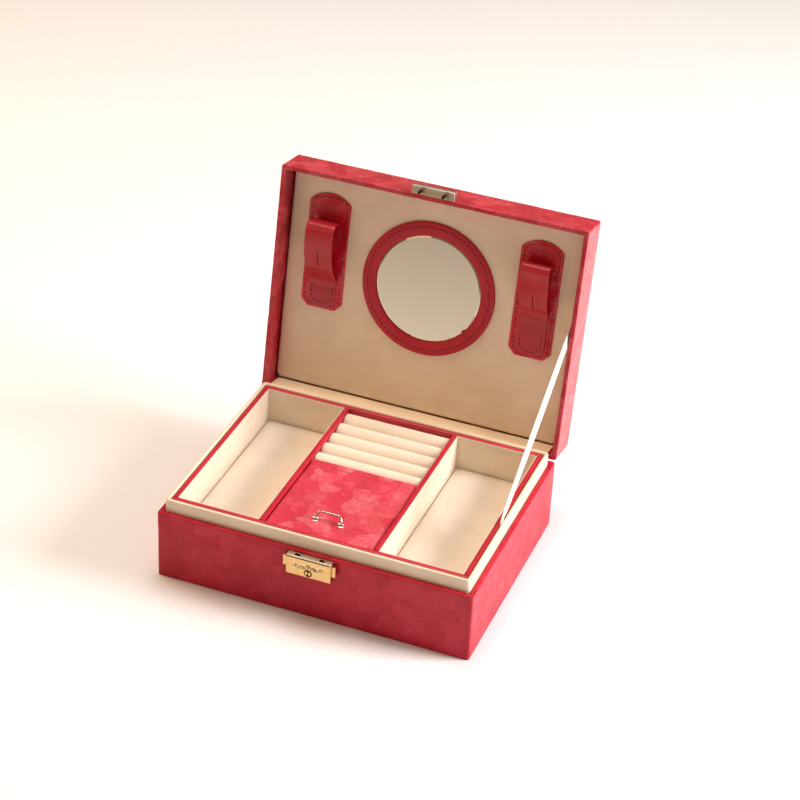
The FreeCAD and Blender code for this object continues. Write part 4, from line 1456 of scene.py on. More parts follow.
@dataclass
class Flap:
    """Padded flap with its leather hinge and bail handle."""

    corner: float = 1.6 * MM
    edge_round: float = 1.1 * MM
    cell: float = 2.5 * MM
    crown: float = 0.35 * MM
    fade: float = 12 * MM
    creases: Waves = ((12 * MM, 0.22 * MM), (4.5 * MM, 0.16 * MM))
    strip_round: float = 0.2 * MM
    strip_cell: tuple[float, float, float] = (4 * MM, 0.4 * MM, 0)
    strip_creases: Waves = ((6 * MM, 0.12 * MM),)
    strip_bend: float = 0.9 * MM
    washer: float = 2.5 * MM
    washer_shape: tuple[float, float, float] = (1, 1, 0.28)
    washer_lift: float = 0.3 * MM
    cheek: float = 1.35 * MM
    cheek_shape: tuple[float, float, float] = (0.72, 1, 1.12)
    cheek_place: tuple[float, float] = (1.6 * MM, -0.1 * MM)
    pin: float = 0.42 * MM
    pin_reach: float = 2.2 * MM
    foot_inset: float = 2.6 * MM

    def build(self) -> None:
        """Make the flap, its hinge strip and the handle's feet, and plate the bail."""
        self._panel()
        self._hinge()
        self._feet()
        dress_node("handle_bail", STEEL)

    def _panel(self) -> None:
        """Make the padded panel, leather on top and velvet below."""
        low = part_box("flap_board")[0]
        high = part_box("flap_cover")[1]
        panel = Bench.block("flap_leather", low, high)
        Bench.round_edges(panel, self.corner, upright_edges(1 * MM), 3)
        Bench.round_edges(panel, self.edge_round, edges_at(high.z), 4)
        Bench.grid(panel, (self.cell, self.cell, 0))

        def puff(at: Vector) -> Vector:
            """Raise a point of the top over the padding.

            Args:
                at: The point.

            Returns:
                Where the point goes.
            """
            inside = min(at.x - low.x, high.x - at.x, at.y - low.y, high.y - at.y) / self.fade
            rise = self.crown * min(1.0, max(0.0, inside)) ** 0.5
            return at + UP * (rise if at.z > high.z - 0.2 * MM else 0.0)

        Bench.mould(panel, puff)
        Bench.crinkle(panel, self.creases)
        Bench.smooth(panel, 55)
        # The flap's leather takes the glossy crimson, whose paler, pinker colour is painted light.
        lay_on(panel, GLOSSY_CRIMSON_PAINTED_LIGHT, "flap", ["flap_board", "flap_cover"])
        paint_faces(panel, CREAM_VELVET, lambda at, way: way.z < -0.7)

    def _hinge(self) -> None:
        """Make the leather strip between the tray and the flap."""
        low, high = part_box("flap_hinge_tape")
        strip = Bench.block("flap_hinge_leather", low, high)
        Bench.round_edges(strip, self.strip_round, edges_at(high.z), 2)
        Bench.grid(strip, self.strip_cell)
        Bench.crinkle(strip, self.strip_creases)
        Bench.smooth(strip, 50)
        # The strip shares the flap's glossy crimson with its painted-light colour.
        dress(strip, GLOSSY_CRIMSON_PAINTED_LIGHT, ["flap_hinge_tape"])
        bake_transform(strip)
        log.info("%s: bends between the tray and the flap", strip.name)

    def _feet(self) -> None:
        """Make the two feet, each with a domed washer, two ball cheeks and a pin."""
        pivot = Vector(joint_named("handle_swing")["pos_m"])
        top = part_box("flap_cover")[1].z
        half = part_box("handle_posts")[1].x - self.foot_inset
        aside, drop = self.cheek_place
        parts = []
        for side in (-1, 1):
            foot = Vector((side * half, pivot.y, top))
            parts.append(Bench.ball("washer", self.washer, foot + UP * self.washer_lift, self.washer_shape))
            hub = Vector((foot.x, pivot.y, pivot.z))
            for cheek in (-1, 1):
                parts.append(Bench.ball("cheek", self.cheek, hub + Vector((cheek * aside, 0, drop)), self.cheek_shape))
            reach = Vector((self.pin_reach, 0, 0))
            parts.append(Bench.disc("pin", self.pin, hub - reach, hub + reach, 16))
        feet = Bench.smooth(Bench.join("handle_feet", parts), 60)
        lay_on(feet, STEEL, "flap", ["handle_posts"])


@dataclass
class Lock:
    """Stamped lock case with its key barrel and latch springs."""

    edge: float = 0.7 * MM
    cell: tuple[float, float, float] = (0.55 * MM, 0, 0.4 * MM)
    wall: float = 0.7 * MM
    front_wall: float = 0.98 * MM
    swell: float = 1.35 * MM
    plate_swell: float = 0.25 * MM
    lip: float = 1.3 * MM
    fall: float = 3.0 * MM
    wave: float = 0.9 * MM
    wave_lift: float = 0.9 * MM
    bow: float = 12.5 * MM
    slot_length: float = 4.4 * MM
    slot_width: float = 2.6 * MM
    slot_spacing: float = 20 * MM
    slot_floor: float = 0.5 * MM
    window_gap: float = 0.12 * MM
    window_depth: float = 1.5 * MM
    barrel_gap: float = 0.45 * MM
    barrel_round: float = 0.35 * MM
    barrel_depth: float = 2.2 * MM
    shank_share: float = 0.72
    keyway_half: float = 0.22 * MM
    keyway_depth: float = 1.4 * MM
    keyway_reach: float = 0.86
    keyway_flare: float = 4.2
    wire: float = 0.22 * MM
    turns: int = 5
    spring_start: float = 1.05 * MM

    def build(self) -> None:
        """Make the case, the barrel and the springs, and plate the other lock pieces."""
        self._case()
        self._barrel()
        for node in ("lock_back_plate", "lock_rivets", "latch_button_left", "latch_button_right"):
            dress_node(node, GOLD)
        for side in ("left", "right"):
            self._spring(side)

    def _case(self) -> None:
        """Make the hollow case, with its waved ridge, hook slots, button windows and barrel hole."""
        low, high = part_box("lock_case")
        case = Bench.block("lock_cover", low, high)
        Bench.round_edges(case, self.edge, lambda a, b: max(a.y, b.y) < high.y - 1 * MM
                          or min(a.z, b.z) > high.z - TINY, 4)
        Bench.grid(case, self.cell)
        Bench.mould(case, lambda at: self._stamp(at, low, high))
        Bench.carve(case, Bench.block("hollow", low + Vector((self.wall, self.front_wall, self.wall)),
                                      high + Vector((-self.wall, 1 * MM, -self.wall))))
        for side in ("left", "right"):
            self._window(case, side)
        hooks = HINGE.shut_box("striker_hooks")
        middle = Vector((self.slot_spacing / 2, (hooks[0].y + hooks[1].y) / 2, high.z))
        half = Vector((self.slot_length / 2, self.slot_width / 2, high.z - hooks[0].z + self.slot_floor))
        for side in (-1, 1):
            at = Vector((side * middle.x, middle.y, middle.z))
            Bench.carve(case, Bench.block("slot", at - half, at + half))
        barrel_low, barrel_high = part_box("key_cylinder")
        bore_z = (barrel_low.z + barrel_high.z) / 2
        radius = (barrel_high.x - barrel_low.x) / 2 + self.barrel_gap
        Bench.carve(case, Bench.disc("bore", radius, Vector((0, low.y - 2 * MM, bore_z)),
                                     Vector((0, low.y + 2.5 * MM, bore_z)), 48))
        Bench.smooth(case, 35)
        lay_on(case, GOLD, "base", ["lock_case"])

        def dark(at: Vector, way: Vector) -> bool:
            """Tell the faces that get painted shade: inside the case, in the slots, in the bore, and a painted shadow
            line along the top's front edge.

            Args:
                at: The face's middle.
                way: The face's normal.

            Returns:
                Whether the face is blackened.
            """
            inside = (at.y > low.y + 1.2 * self.wall and abs(at.x) < high.x - 0.9 * self.wall
                      and low.z + 0.9 * self.wall < at.z < high.z - 0.9 * self.wall)
            aside = abs(abs(at.x) - middle.x)
            in_slot = aside < half.x + TINY and abs(at.y - middle.y) < half.y + TINY
            in_bore = math.hypot(at.x, at.z - bore_z) < radius + TINY
            # A thin painted shadow line under the top's front edge.
            shadow_line = 0.08 < way.z < 0.30 and way.y < -0.8 and at.z > high.z - 1 * MM
            return (inside or shadow_line or in_slot and high.z - 7 * MM < at.z < high.z - 0.2 * MM
                    or in_bore and low.y + 0.1 * MM < at.y < low.y + 3 * MM)

        paint_faces(case, PALE_GOLD, lambda at, way: way.z > 0.30 and at.z > high.z - 1 * MM)
        # Painted shade: faces inside the case, the slots and the bore, and the shadow line at the top's front edge,
        # are painted near-black.
        paint_faces(case, DARK_STEEL_AND_PAINTED_SHADE, dark)
        # Painted shade: the downward faces under the ridge's lip take a dark gold.
        paint_faces(case, PAINTED_SHADE_GOLD, lambda at, way: -0.99 < way.z < -0.22 and way.y < -0.1
                    and abs(at.x) < self.bow and at.z > low.z + 2 * MM)
        # Painted highlight: the upward faces of the ridge take a brighter gold.
        paint_faces(case, PAINTED_HIGHLIGHT_GOLD, lambda at, way: 0.16 < way.z < 0.95 and way.y < -0.1
                    and abs(at.x) < self.bow and at.z < high.z - 2 * MM)

    def _stamp(self, at: Vector, low: Vector, high: Vector) -> Vector:
        """Push a point of the front out above a waved line, and leave it flat below.

        Args:
            at: The point.
            low: The case's low corner.
            high: The case's high corner.

        Returns:
            Where the point goes.
        """
        if at.y > low.y + 0.05 * MM:
            return at
        middle = (low.z + high.z) / 2 + self.wave_lift
        crest = middle + self.wave * math.cos(at.x * ROUND / (self.bow * 0.95)) + at.x * 0.05
        rise = min(1.0, max(0.0, (at.z - crest + self.lip) / self.lip))
        fall = min(1.0, max(0.0, 1 - (at.z - crest) / self.fall))
        ends = max(0.0, 1 - (abs(at.x) / self.bow) ** 4)
        knots = 1 + 0.30 * math.cos(at.x * ROUND / (self.bow * 0.42))
        top = min(1.0, max(0.0, (high.z - self.edge - at.z) / self.lip))
        raised = self.swell * rise * rise * fall ** 1.3 * ends ** 0.5 * knots
        return at - Vector((0, raised + self.plate_swell * rise * top, 0))

    def _window(self, case: Object, side: str) -> None:
        """Cut the opening that one latch button slides through.

        Args:
            case: The lock case.
            side: left or right.
        """
        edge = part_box("lock_case")[1].x
        low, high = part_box(f"latch_button_{side}")
        heights = [vertex.co.z for vertex in frame["nodes"][f"latch_button_{side}"].data.vertices
                   if abs(vertex.co.x) > edge + TINY]
        way = 1 if side == "right" else -1
        near, far = sorted((way * (edge - self.window_depth), way * (edge + 1 * MM)))
        gap = self.window_gap
        Bench.carve(case, Bench.block("window", Vector((near, low.y - gap, min(heights) - gap)),
                                      Vector((far, high.y + gap, max(heights) + gap))))

    def _barrel(self) -> None:
        """Make the key barrel with a bow-shaped keyway."""
        low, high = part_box("key_cylinder")
        centre = (low + high) / 2
        radius = (high.x - low.x) / 2 - self.barrel_gap
        reach = radius * self.keyway_reach
        waist = Vector((0, low.y + self.barrel_depth, centre.z))
        barrel = Bench.disc("key_barrel", radius, waist, Vector((0, low.y, centre.z)), 48)
        Bench.round_edges(barrel, self.barrel_round, lambda a, b: max(a.y, b.y) < low.y + TINY, 3)
        for side in (-1, 1):
            tool = Bench.block("bow", Vector((-self.keyway_half, -1 * MM, 0)),
                               Vector((self.keyway_half, self.keyway_depth, reach)))

            def flare(at: Vector) -> Vector:
                """Widen the keyway away from the middle, and put it in its place."""
                wide = 1 + self.keyway_flare * at.z / reach
                return Vector((at.x * wide, low.y + at.y, centre.z + side * at.z))

            Bench.tidy(Bench.mould(tool, flare))
            Bench.carve(barrel, tool)
        shank = Bench.disc("shank", radius * self.shank_share, Vector((0, high.y, centre.z)), waist, 32)
        barrel = Bench.join("key_barrel", [barrel, shank])
        Bench.smooth(barrel, 35)
        lay_on(barrel, GOLD, "key", ["key_cylinder"])
        # Painted shade: the keyway's walls are painted near-black.
        paint_faces(barrel, DARK_STEEL_AND_PAINTED_SHADE, lambda at, way: low.y + 0.15 * MM < at.y < low.y + 1.9 * MM
                    and math.hypot(at.x, at.z - centre.z) < radius * 0.95)

    def _spring(self, side: str) -> None:
        """Wind one latch spring. How much it would shorten as its latch is pressed is worked out but not used.

        Args:
            side: left or right.
        """
        low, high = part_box("latch_springs")
        way = 1 if side == "right" else -1
        coil = (high.z - low.z) / 2 - self.wire
        start = self.spring_start + self.wire
        length = high.x - self.wire - start
        centre = Vector((way * start, (low.y + high.y) / 2, (low.z + high.z) / 2))
        bpy.ops.object.select_all(action="DESELECT")
        bpy.ops.mesh.primitive_circle_add(vertices=10, radius=self.wire, fill_type="NOTHING",
                                          location=(0, coil, 0))
        spring = Bench.take(f"latch_spring_{side}")
        Bench.modify(spring, "SCREW", axis="X", angle=ROUND, screw_offset=length / self.turns,
                     iterations=self.turns, steps=24, render_steps=24, use_normal_calculate=True)
        spring.data.transform(Matrix.Translation(centre) @ Matrix.Diagonal((way, 1, 1, 1)))
        Bench.tidy(spring)
        Bench.smooth(spring, 60)
        lay_on(spring, SPRING, "base", ["latch_springs"])
        joint = f"latch_{side}_slide"
        travel = abs(min(joint_named(joint)["range_m"]))
        keep = 1 - travel / (length + 2 * self.wire)
        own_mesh(spring)


@dataclass
class Striker:
    """Nose on the lid's front, with its two hooks."""

    edge: float = 0.7 * MM
    brow: float = 1.5 * MM
    proud: float = 0.8 * MM
    recess: float = 0.6 * MM
    recess_depth: float = 0.25 * MM

    def build(self) -> None:
        """Make the nose and plate the hooks."""
        low, high = HINGE.shut_box("striker_plate")
        low = low - Vector((0, self.proud, 0))
        nose = Bench.block("striker_nose", low, high)
        Bench.round_edges(nose, self.brow, lambda a, b: max(a.y, b.y) < low.y + TINY
                          and min(a.z, b.z) > high.z - TINY, 4)
        Bench.round_edges(nose, self.edge, lambda a, b: min(abs(a.x), abs(b.x)) > high.x - TINY
                          and min(a.y, b.y) < high.y - TINY, 3)
        with Bench.editing(nose) as mesh:
            Bench.pick_faces(mesh, lambda at, way: way.z < -0.9 and at.z < low.z + 0.05 * MM)
            bpy.ops.mesh.inset(thickness=self.recess, depth=-self.recess_depth)
        Bench.smooth(nose, 35)
        HINGE.open(nose)
        lay_on(nose, PALE_GOLD, "lid", ["striker_plate"])
        dress_node("striker_hooks", DARK_STEEL_AND_PAINTED_SHADE)


@dataclass
class LidLining:
    """Padded cream panel inside the lid."""

    edge_round: float = 2.6 * MM
    corner: float = 5 * MM
    cell: float = 5 * MM
    creases: Waves = ((45 * MM, 0.35 * MM),)

    def build(self) -> Object:
        """Make the panel.

        Returns:
            The finished piece.
        """
        low, high = HINGE.shut_box("lid_lining_panel")
        panel = Bench.block("lid_lining", low, high)
        Bench.round_edges(panel, self.corner, upright_edges(self.corner), 5)
        Bench.round_edges(panel, self.edge_round, edges_under(low.z), 5)
        Bench.grid(panel, (self.cell, self.cell, 0))
        Bench.crinkle(panel, self.creases)
        Bench.smooth(panel, 50)
        HINGE.open(panel)
        lay_on(panel, CREAM_HIDE, "lid", ["lid_lining_panel"])
        return panel


@dataclass
class Mirror:
    """Round bevelled mirror in a stitched leather ring."""

    bevel: float = 1.1 * MM
    bevel_drop: float = 0.30 * MM
    ring_round: float = 0.75 * MM
    seam_inset: float = 4.6 * MM
    gap: float = 0.15 * MM
    sides: int = 144

    def build(self) -> None:
        """Make the glass, the ring and its seam."""
        low, high = HINGE.shut_box("mirror_surround")
        glass_low, glass_high = HINGE.shut_box("mirror_glass")
        centre = (low + high) / 2
        inner = (glass_high.x - glass_low.x) / 2 + self.gap
        outer = (high.x - low.x) / 2
        self._ring(centre, inner, outer, low.z, high.z)
        self._glass(centre, inner - 2 * self.gap, glass_low.z, glass_high.z)
        radius = outer - self.seam_inset
        line = [centre + Vector((math.cos(k * ROUND / self.sides) * radius, math.sin(k * ROUND / self.sides) * radius,
                                 low.z - centre.z)) for k in range(self.sides + 1)]
        seam = Seam().sew("mirror_seam", line, DOWN)
        lay_on(HINGE.open(seam), THREAD, "lid")

    def _ring(self, centre: Vector, inner: float, outer: float, low: float, high: float) -> None:
        """Make the leather ring.

        Args:
            centre: The ring's middle.
            inner: The inner radius.
            outer: The outer radius.
            low: The height of its face.
            high: The height of its back.
        """
        ring = Bench.disc("mirror_ring", outer, Vector((0, centre.y, low)), Vector((0, centre.y, high)), self.sides)
        with Bench.editing(ring) as mesh:
            Bench.pick_faces(mesh, lambda at, way: abs(way.z) > 0.9)
            bpy.ops.mesh.delete(type="FACE")
        Bench.fold_in(ring, low, outer - inner, (outer, inner), high - low)
        Bench.fold_in(ring, high, outer - inner, (outer, inner))
        Bench.tidy(ring)
        Bench.round_ring(ring, low, self.ring_round)
        Bench.smooth(ring, 50)
        lay_on(HINGE.open(ring), CRIMSON_PLAIN, "lid", ["mirror_surround"])

    def _glass(self, centre: Vector, radius: float, low: float, high: float) -> None:
        """Make the bevelled glass.

        Args:
            centre: The middle.
            radius: The radius.
            low: The height of its face.
            high: The height of its back.
        """
        glass = Bench.disc("mirror_plate", radius, Vector((0, centre.y, low + self.bevel_drop)),
                           Vector((0, centre.y, high)), self.sides)
        with Bench.editing(glass) as mesh:
            Bench.pick_faces(mesh, lambda at, way: way.z < -0.9)
            bpy.ops.mesh.inset(thickness=self.bevel, depth=self.bevel_drop)
        Bench.smooth(glass, 3)
        lay_on(HINGE.open(glass), SILVER, "lid", ["mirror_glass"])
        largest = max(glass.data.polygons, key=lambda face: face.area).normal.copy()
        # Painted highlight: the bevel faces take the pale matt edge finish in place of reflecting.
        paint_faces(glass, PAINTED_HIGHLIGHT_GLASS_EDGE, lambda at, way: 0.5 < way.dot(largest) < 0.999)


LEFT_HUMP = ((20.5, 0), (9, 0), (-1.9, 0.4), (-9.5, 6.6), (-17.2, 13.0), (-30.4, 18.4), (-43.8, 19.8),
             (-53.5, 18.0), (-56.0, 9.5), (-48.6, 0.8), (-38, 0))
RIGHT_HUMP = ((20.5, 0), (6, 0), (-13.8, 0.6), (-24, 6.8), (-34.5, 11.0), (-47.4, 14.4), (-57.0, 15.2),
              (-60.6, 9.5), (-54, 0.9), (-44, 0))


@dataclass
class EarringHolder:
    """Stitched patch and the looped strap on it. The hump is the strap's line: millimetres along and off the patch."""

    side: str
    hump: Sequence[tuple[float, float]]
    dome: float = 8 * MM
    chamfer: float = 6 * MM
    seam_inset: float = 3 * MM
    strap_wall: float = 0.9 * MM
    strap_width: float = 24 * MM
    end_depth: float = 8 * MM
    slit: float = 0.45 * MM
    slit_share: tuple[float, float] = (0.40, 0.52)
    patch_bevel: float = 0.45 * MM
    strap_bevel: float = 0.22 * MM
    creases: Waves = ((10 * MM, 0.15 * MM),)
    leg: float = 9 * MM

    def build(self) -> None:
        """Make the patch, the strap and their seams."""
        low, high = HINGE.shut_box(f"earring_patch_{self.side}")
        self._patch(low, high)
        self._strap(low, high)

    def _outline(self, low: Vector, high: Vector, inset: float) -> list[Vector]:
        """Return the patch's outline, drawn in by an inset, on its face.

        Args:
            low: The low corner.
            high: The high corner.
            inset: How far it is drawn in.

        Returns:
            The points of the outline, closed.
        """
        half = (high.x - low.x) / 2
        middle = (low.x + high.x) / 2
        bend = (half ** 2 + self.dome ** 2) / (2 * self.dome)
        reach = half - inset
        steps = 16
        arc = []
        for k in range(steps + 1):
            x = -reach + 2 * reach * k / steps
            drop = (bend - inset) - math.sqrt((bend - inset) ** 2 - x * x)
            arc.append(Vector((middle + x, low.y + inset + drop, low.z)))
        cut = self.chamfer - inset * 0.4
        back = [Vector((middle + reach, high.y - inset - cut, low.z)),
                Vector((middle + reach - cut, high.y - inset, low.z)),
                Vector((middle - reach + cut, high.y - inset, low.z)),
                Vector((middle - reach, high.y - inset - cut, low.z))]
        return arc + back + arc[:1]

    def _patch(self, low: Vector, high: Vector) -> None:
        """Make the patch and sew round it.

        Args:
            low: The low corner.
            high: The high corner.
        """
        patch = Bench.block(f"patch_{self.side}", low, high)
        Bench.grid(patch, (1.5 * MM, 0, 0))
        half = (high.x - low.x) / 2
        middle = (low.x + high.x) / 2
        bend = (half ** 2 + self.dome ** 2) / (2 * self.dome)

        def trim(at: Vector) -> Vector:
            """Dome one end and cut the corners of the other.

            Args:
                at: The point.

            Returns:
                Where the point goes.
            """
            x = at.x - middle
            if at.y < low.y + TINY:
                return Vector((at.x, low.y + bend - math.sqrt(max(0.0, bend ** 2 - x * x)), at.z))
            return Vector((at.x, high.y - max(0.0, abs(x) - half + self.chamfer), at.z))

        Bench.mould(patch, trim)
        Bench.soften(patch, self.patch_bevel, 3)
        Bench.grid(patch, (0, 4 * MM, 0))
        Bench.crinkle(patch, self.creases)
        Bench.smooth(patch, 50)
        lay_on(HINGE.open(patch), CRIMSON_FINE, "lid", [f"earring_patch_{self.side}"])
        seam = Seam().sew(f"patch_seam_{self.side}", self._outline(low, high, self.seam_inset), DOWN)
        lay_on(HINGE.open(seam), THREAD, "lid")

    def _strap(self, low: Vector, high: Vector) -> None:
        """Make the strap along its loop, with a slit for hooks and a sewn round end.

        Args:
            low: The low corner.
            high: The high corner.
        """
        face = low.z - self.strap_wall / 2
        points = [Vector((0, y * MM, face - lift * MM)) for y, lift in self.hump]
        line = smooth_line(points, 8)
        stations = [0.0]
        for a, b in zip(line, line[1:]):
            stations.append(stations[-1] + (b - a).length)
        total = stations[-1]
        middle = (low.x + high.x) / 2
        half = self.strap_width / 2
        bpy.ops.object.select_all(action="DESELECT")
        bpy.ops.mesh.primitive_plane_add(size=1.0)
        strap = Bench.take(f"strap_{self.side}")
        Bench.mould(strap, lambda at: Vector((at.x * self.strap_width, (at.y + 0.5) * total, 0)))
        Bench.grid(strap, (2 * MM, 1.2 * MM, 0))
        Bench.slice_up(strap, 0, [-self.slit, self.slit])
        start, end = (total * share for share in self.slit_share)
        Bench.slice_up(strap, 1, [start, end])
        with Bench.editing(strap) as mesh:
            Bench.pick_faces(mesh, lambda at, way: abs(at.x) < self.slit and start < at.y < end)
            bpy.ops.mesh.delete(type="FACE")

        def bend(at: Vector) -> Vector:
            """Lay a flat point of the strap on its loop.

            Args:
                at: A point of the flat strap.

            Returns:
                Where the point goes.
            """
            left = min(1.0, max(0.0, 1 - at.y / self.end_depth))
            narrow = (1 - left ** 2.6) ** (1 / 2.6)
            for a, b, s, e in zip(line, line[1:], stations, stations[1:]):
                if at.y <= e + 1e-9:
                    spot = a.lerp(b, (at.y - s) / (e - s))
                    return Vector((middle + at.x * max(narrow, 0.05), spot.y, spot.z))
            return Vector((middle + at.x, line[-1].y, line[-1].z))

        Bench.mould(strap, bend)
        Bench.thicken(strap, self.strap_wall, 0.0)
        Bench.soften(strap, self.strap_bevel, 2)
        Bench.tidy(strap)
        Bench.smooth(strap, 50)
        lay_on(HINGE.open(strap), CRIMSON_STRAP, "lid", [f"earring_strap_{self.side}"])
        top = face - self.strap_wall / 2
        reach = half - self.seam_inset
        end_y = points[0].y - self.seam_inset
        arc = [Vector((middle + reach * math.cos(k * math.pi / 12),
                       end_y - self.end_depth * 0.8 + self.end_depth * 0.8 * math.sin(k * math.pi / 12), top))
               for k in range(13)]
        leg = Vector((0, -self.leg, 0))
        seam = Seam().sew(f"strap_seam_{self.side}", [arc[0] + leg, *arc, arc[-1] + leg], DOWN)
        lay_on(HINGE.open(seam), THREAD, "lid")


@dataclass
class HingeLining:
    """Cream cloth that covers the gap at the hinge."""

    wall: float = 0.5 * MM
    lining_gap: float = 1.0 * MM
    collar_gap: float = 0.4 * MM
    rim_lift: float = 1.5 * MM
    far_lift: float = 0.4 * MM
    collar_drops: tuple[tuple[float, float], ...] = ((0, 9 * MM), (0, 5 * MM), (0.9 * MM, 3.2 * MM))
    rim_slack: tuple[float, float] = (2.2 * MM, 0.9 * MM)
    creases: Waves = ((16 * MM, 0.18 * MM),)

    def build(self) -> Object:
        """Make the cloth, from the back of the collar up to the lid's lining.

        Returns:
            The finished piece.
        """
        low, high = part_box("hinge_lining")
        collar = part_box("collar_back")[1]
        lining = HINGE.shut_box("lid_lining_panel")
        inner_wall = lining[1].y + self.lining_gap
        on_collar = collar.y + self.collar_gap
        rim = HINGE.opening @ Vector((0, inner_wall - self.wall, HINGE.centre.z + self.rim_lift))
        far = HINGE.opening @ Vector((0, inner_wall - self.wall, lining[0].z - self.far_lift))
        points = [Vector((0, on_collar + back, collar.z - drop)) for back, drop in self.collar_drops]
        points += [Vector((0, rim.y - self.rim_slack[0], rim.z + self.rim_slack[1])), rim, rim.lerp(far, 0.5), far]
        line = smooth_line(points, 6)
        half = (high.x - low.x) / 2
        bpy.ops.object.select_all(action="DESELECT")
        bpy.ops.mesh.primitive_grid_add(x_subdivisions=48, y_subdivisions=len(line) - 1, size=1.0)
        cloth = Bench.take("hinge_cloth")
        last = len(line) - 1

        def hang(at: Vector) -> Vector:
            """Lay a flat point of the cloth on its line."""
            spot = line[round((at.y + 0.5) * last)]
            return Vector((at.x * 2 * half, spot.y, spot.z))

        Bench.mould(cloth, hang)
        Bench.thicken(cloth, self.wall, 0.0)
        Bench.crinkle(cloth, self.creases)
        Bench.tidy(cloth)
        Bench.smooth(cloth, 60)
        # The cloth takes the brighter cream copy: painted light on the hinge band.
        dress(cloth, PAINTED_LIGHT_CREAM_HIDE, ["hinge_lining"])
        length = sum((b - a).length for a, b in zip(line, line[1:]))
        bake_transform(cloth)
        log.info("%s: bends between the body and the lid", cloth.name)
        return cloth


@dataclass
class StayRibbon:
    """Taut satin ribbon between the collar and the lid."""

    width: float = 8 * MM
    wall: float = 0.35 * MM
    twist: float = math.radians(-15)
    tail: float = 24 * MM
    foot_y: float = -12 * MM
    foot_inset: float = 0.3 * MM
    top_y: float = -25.5 * MM
    clear: float = 1.2 * MM
    sag: float = 1.2 * MM
    turn_share: float = 0.06
    weave_length: float = 0.21
    stations: int = 60

    def build(self) -> Object:
        """Make the ribbon with its slightly twisted run and its tucked foot.

        Returns:
            The finished piece.
        """
        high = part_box("lid_stay_ribbon")[1]
        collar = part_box("collar_right")
        foot = Vector((collar[0].x - self.foot_inset, self.foot_y, collar[1].z + self.clear))
        shut_top = HINGE.shut_box("lid_lining_panel")
        top = HINGE.opening @ Vector((high.x - self.wall, self.top_y, shut_top[0].z + self.clear))
        start = foot - UP * self.tail
        bpy.ops.object.select_all(action="DESELECT")
        bpy.ops.mesh.primitive_grid_add(x_subdivisions=8, y_subdivisions=self.stations, size=1.0)
        ribbon = Bench.take("stay_ribbon")
        self._weave_map(ribbon)
        tail_share = self.tail / (self.tail + (top - foot).length)
        along = (top - foot).normalized()

        def lay(at: Vector) -> Vector:
            """Lay a flat point of the ribbon on its run.

            Args:
                at: A point of the flat ribbon.

            Returns:
                Where the point goes.
            """
            share = at.y + 0.5
            across = at.x * self.width
            if share < tail_share:
                spot = start.lerp(foot, share / tail_share)
                return spot + Vector((0, across, 0))
            run = (share - tail_share) / (1 - tail_share)
            ease = min(1.0, run / self.turn_share)
            edge = Vector((0, -along.z, along.y)).normalized()
            edge = Vector((0, 1, 0)).slerp(-edge, ease) if ease < 1 else -edge
            turn = Matrix.Rotation(self.twist * math.sin(math.pi * run) ** 0.7, 3, along)
            sag = DOWN * self.sag * math.sin(math.pi * run)
            return foot.lerp(top, run) + turn @ edge * across + sag

        Bench.mould(ribbon, lay)
        Bench.thicken(ribbon, self.wall, 0.0)
        Bench.tidy(ribbon)
        Bench.smooth(ribbon, 60)
        dress(ribbon, SATIN, ["lid_stay_ribbon"])
        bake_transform(ribbon)
        log.info("%s: bends between the body and the lid", ribbon.name)
        return ribbon

    def _weave_map(self, ribbon: Object) -> None:
        """Store the place across and along the ribbon as a UV map.

        Args:
            ribbon: The ribbon.
        """
        layer = ribbon.data.uv_layers.new(name="weave")
        for loop in ribbon.data.loops:
            at = ribbon.data.vertices[loop.vertex_index].co
            layer.data[loop.index].uv = (at.x * self.width, at.y * self.weave_length)


def dress_node(node: str, finish: Finish) -> None:
    """Give a node of the frame its finish."""
    dress(frame["nodes"][node], finish)
    log.info("%s: keeps its shape, finish %s", node, finish.name)


def dress_hidden_nodes() -> None:
    """Finish the boards, foam, felt and hinges that keep their shape."""
    for node in frame["nodes"]:
        if node.endswith("_board") and not frame["nodes"][node].hide_render:
            dress_node(node, BOARD)
        elif node.startswith("hinge_") and node != "hinge_lining":
            dress_node(node, BRASS)
    dress_node("lid_top_foam", FOAM)
    dress_node("base_bottom_sheet", FELT)


# ---------------------------------------------------------------- studio
@dataclass(frozen=True)
class Lamp:
    """One soft light aimed at the case."""

    name: str
    place: tuple[float, float, float]
    size: tuple[float, float]
    power: float
    colour: Colour
    aim: tuple[float, float, float] = (0, 0, 0.09)

    def hang(self) -> None:
        """Add the light."""
        bpy.ops.object.select_all(action="DESELECT")
        bpy.ops.object.light_add(type="AREA", location=self.place)
        lamp = bpy.context.active_object
        lamp.name = self.name
        lamp.rotation_euler = (Vector(self.place) - Vector(self.aim)).to_track_quat("Z", "Y").to_euler()
        lamp.data.shape = "RECTANGLE"
        lamp.data.size, lamp.data.size_y = self.size
        lamp.data.energy = self.power
        lamp.data.color = self.colour


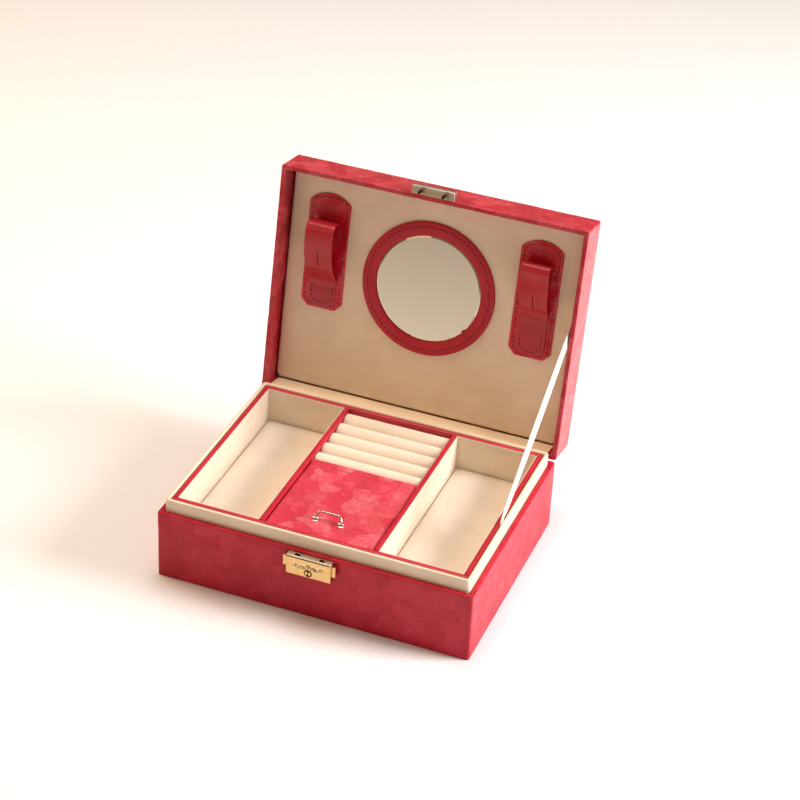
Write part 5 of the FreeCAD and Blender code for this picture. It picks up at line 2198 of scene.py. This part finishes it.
@dataclass
class Studio:
    """Pale floor, soft lights and the camera."""

    floor_size: float = 8.0
    lamps: tuple[Lamp, ...] = (
        Lamp("window", (1.55, 0.35, 0.85), (0.7, 0.8), 46.0, (1.0, 0.95, 0.90)),
        Lamp("overhead", (-0.2, 0.35, 1.8), (1.0, 1.0), 16.0, (1.0, 0.96, 0.91)),
        Lamp("front_fill", (-1.3, -1.6, 1.2), (1.4, 1.0), 4.5, (1.0, 0.66, 0.40)),
        Lamp("lamp_glow", (-1.25, 0.10, 1.05), (0.5, 0.5), 9.5, (1.0, 0.60, 0.29)))
    air: Colour = (1.0, 0.74, 0.52)
    air_strength: float = 0.28
    camera_place: tuple[float, float, float] = (0.544449, -1.428414, 1.135613)
    yaw: float = 0.346
    pitch: float = 0.576
    roll: float = 0.050
    lens: float = 106.478

    def build(self) -> None:
        """Make the floor, the lights and the camera."""
        bpy.ops.object.select_all(action="DESELECT")
        bpy.ops.mesh.primitive_plane_add(size=self.floor_size)
        floor = Bench.take("floor")
        floor.data.materials.append(material_of(PALE_FLOOR))
        for lamp in self.lamps:
            lamp.hang()
        world = bpy.data.worlds.new("studio_air")
        world.use_nodes = True
        sky = world.node_tree.nodes["Background"]
        sky.inputs["Color"].default_value = (*self.air, 1.0)
        sky.inputs["Strength"].default_value = self.air_strength
        bpy.context.scene.world = world
        bpy.context.scene.view_settings.view_transform = "Standard"
        self._camera()

    def _camera(self) -> None:
        """Place the camera from its heading, tilt and roll."""
        ahead = Vector((-math.sin(self.yaw) * math.cos(self.pitch), math.cos(self.yaw) * math.cos(self.pitch),
                        -math.sin(self.pitch)))
        right = Vector((math.cos(self.yaw), math.sin(self.yaw), 0))
        up = right.cross(ahead)
        right, up = (math.cos(self.roll) * right + math.sin(self.roll) * up,
                     math.cos(self.roll) * up - math.sin(self.roll) * right)
        data = bpy.data.cameras.new("camera")
        data.lens = self.lens
        data.sensor_width = 36.0
        camera = bpy.data.objects.new("camera", data)
        bpy.context.scene.collection.objects.link(camera)
        turn = Matrix((right, up, -ahead)).transposed().to_4x4()
        camera.matrix_world = Matrix.Translation(self.camera_place) @ turn
        bpy.context.scene.camera = camera


def main() -> None:
    """Build every sub-assembly in order."""
    logging.basicConfig(level=logging.INFO, format="%(name)s %(message)s")
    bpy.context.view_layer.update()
    Studio().build()
    for assembly in (BodyCover(), Collar(), LowerLayer(), Tray(), Flap(), Lock(), LidCover(), LidLining(), Mirror(),
                     EarringHolder("left", LEFT_HUMP), EarringHolder("right", RIGHT_HUMP), Striker(), HingeLining(),
                     StayRibbon()):
        assembly.build()
        log.info("%s is done", type(assembly).__name__)
    dress_hidden_nodes()


if __name__ == "__main__":
    main()
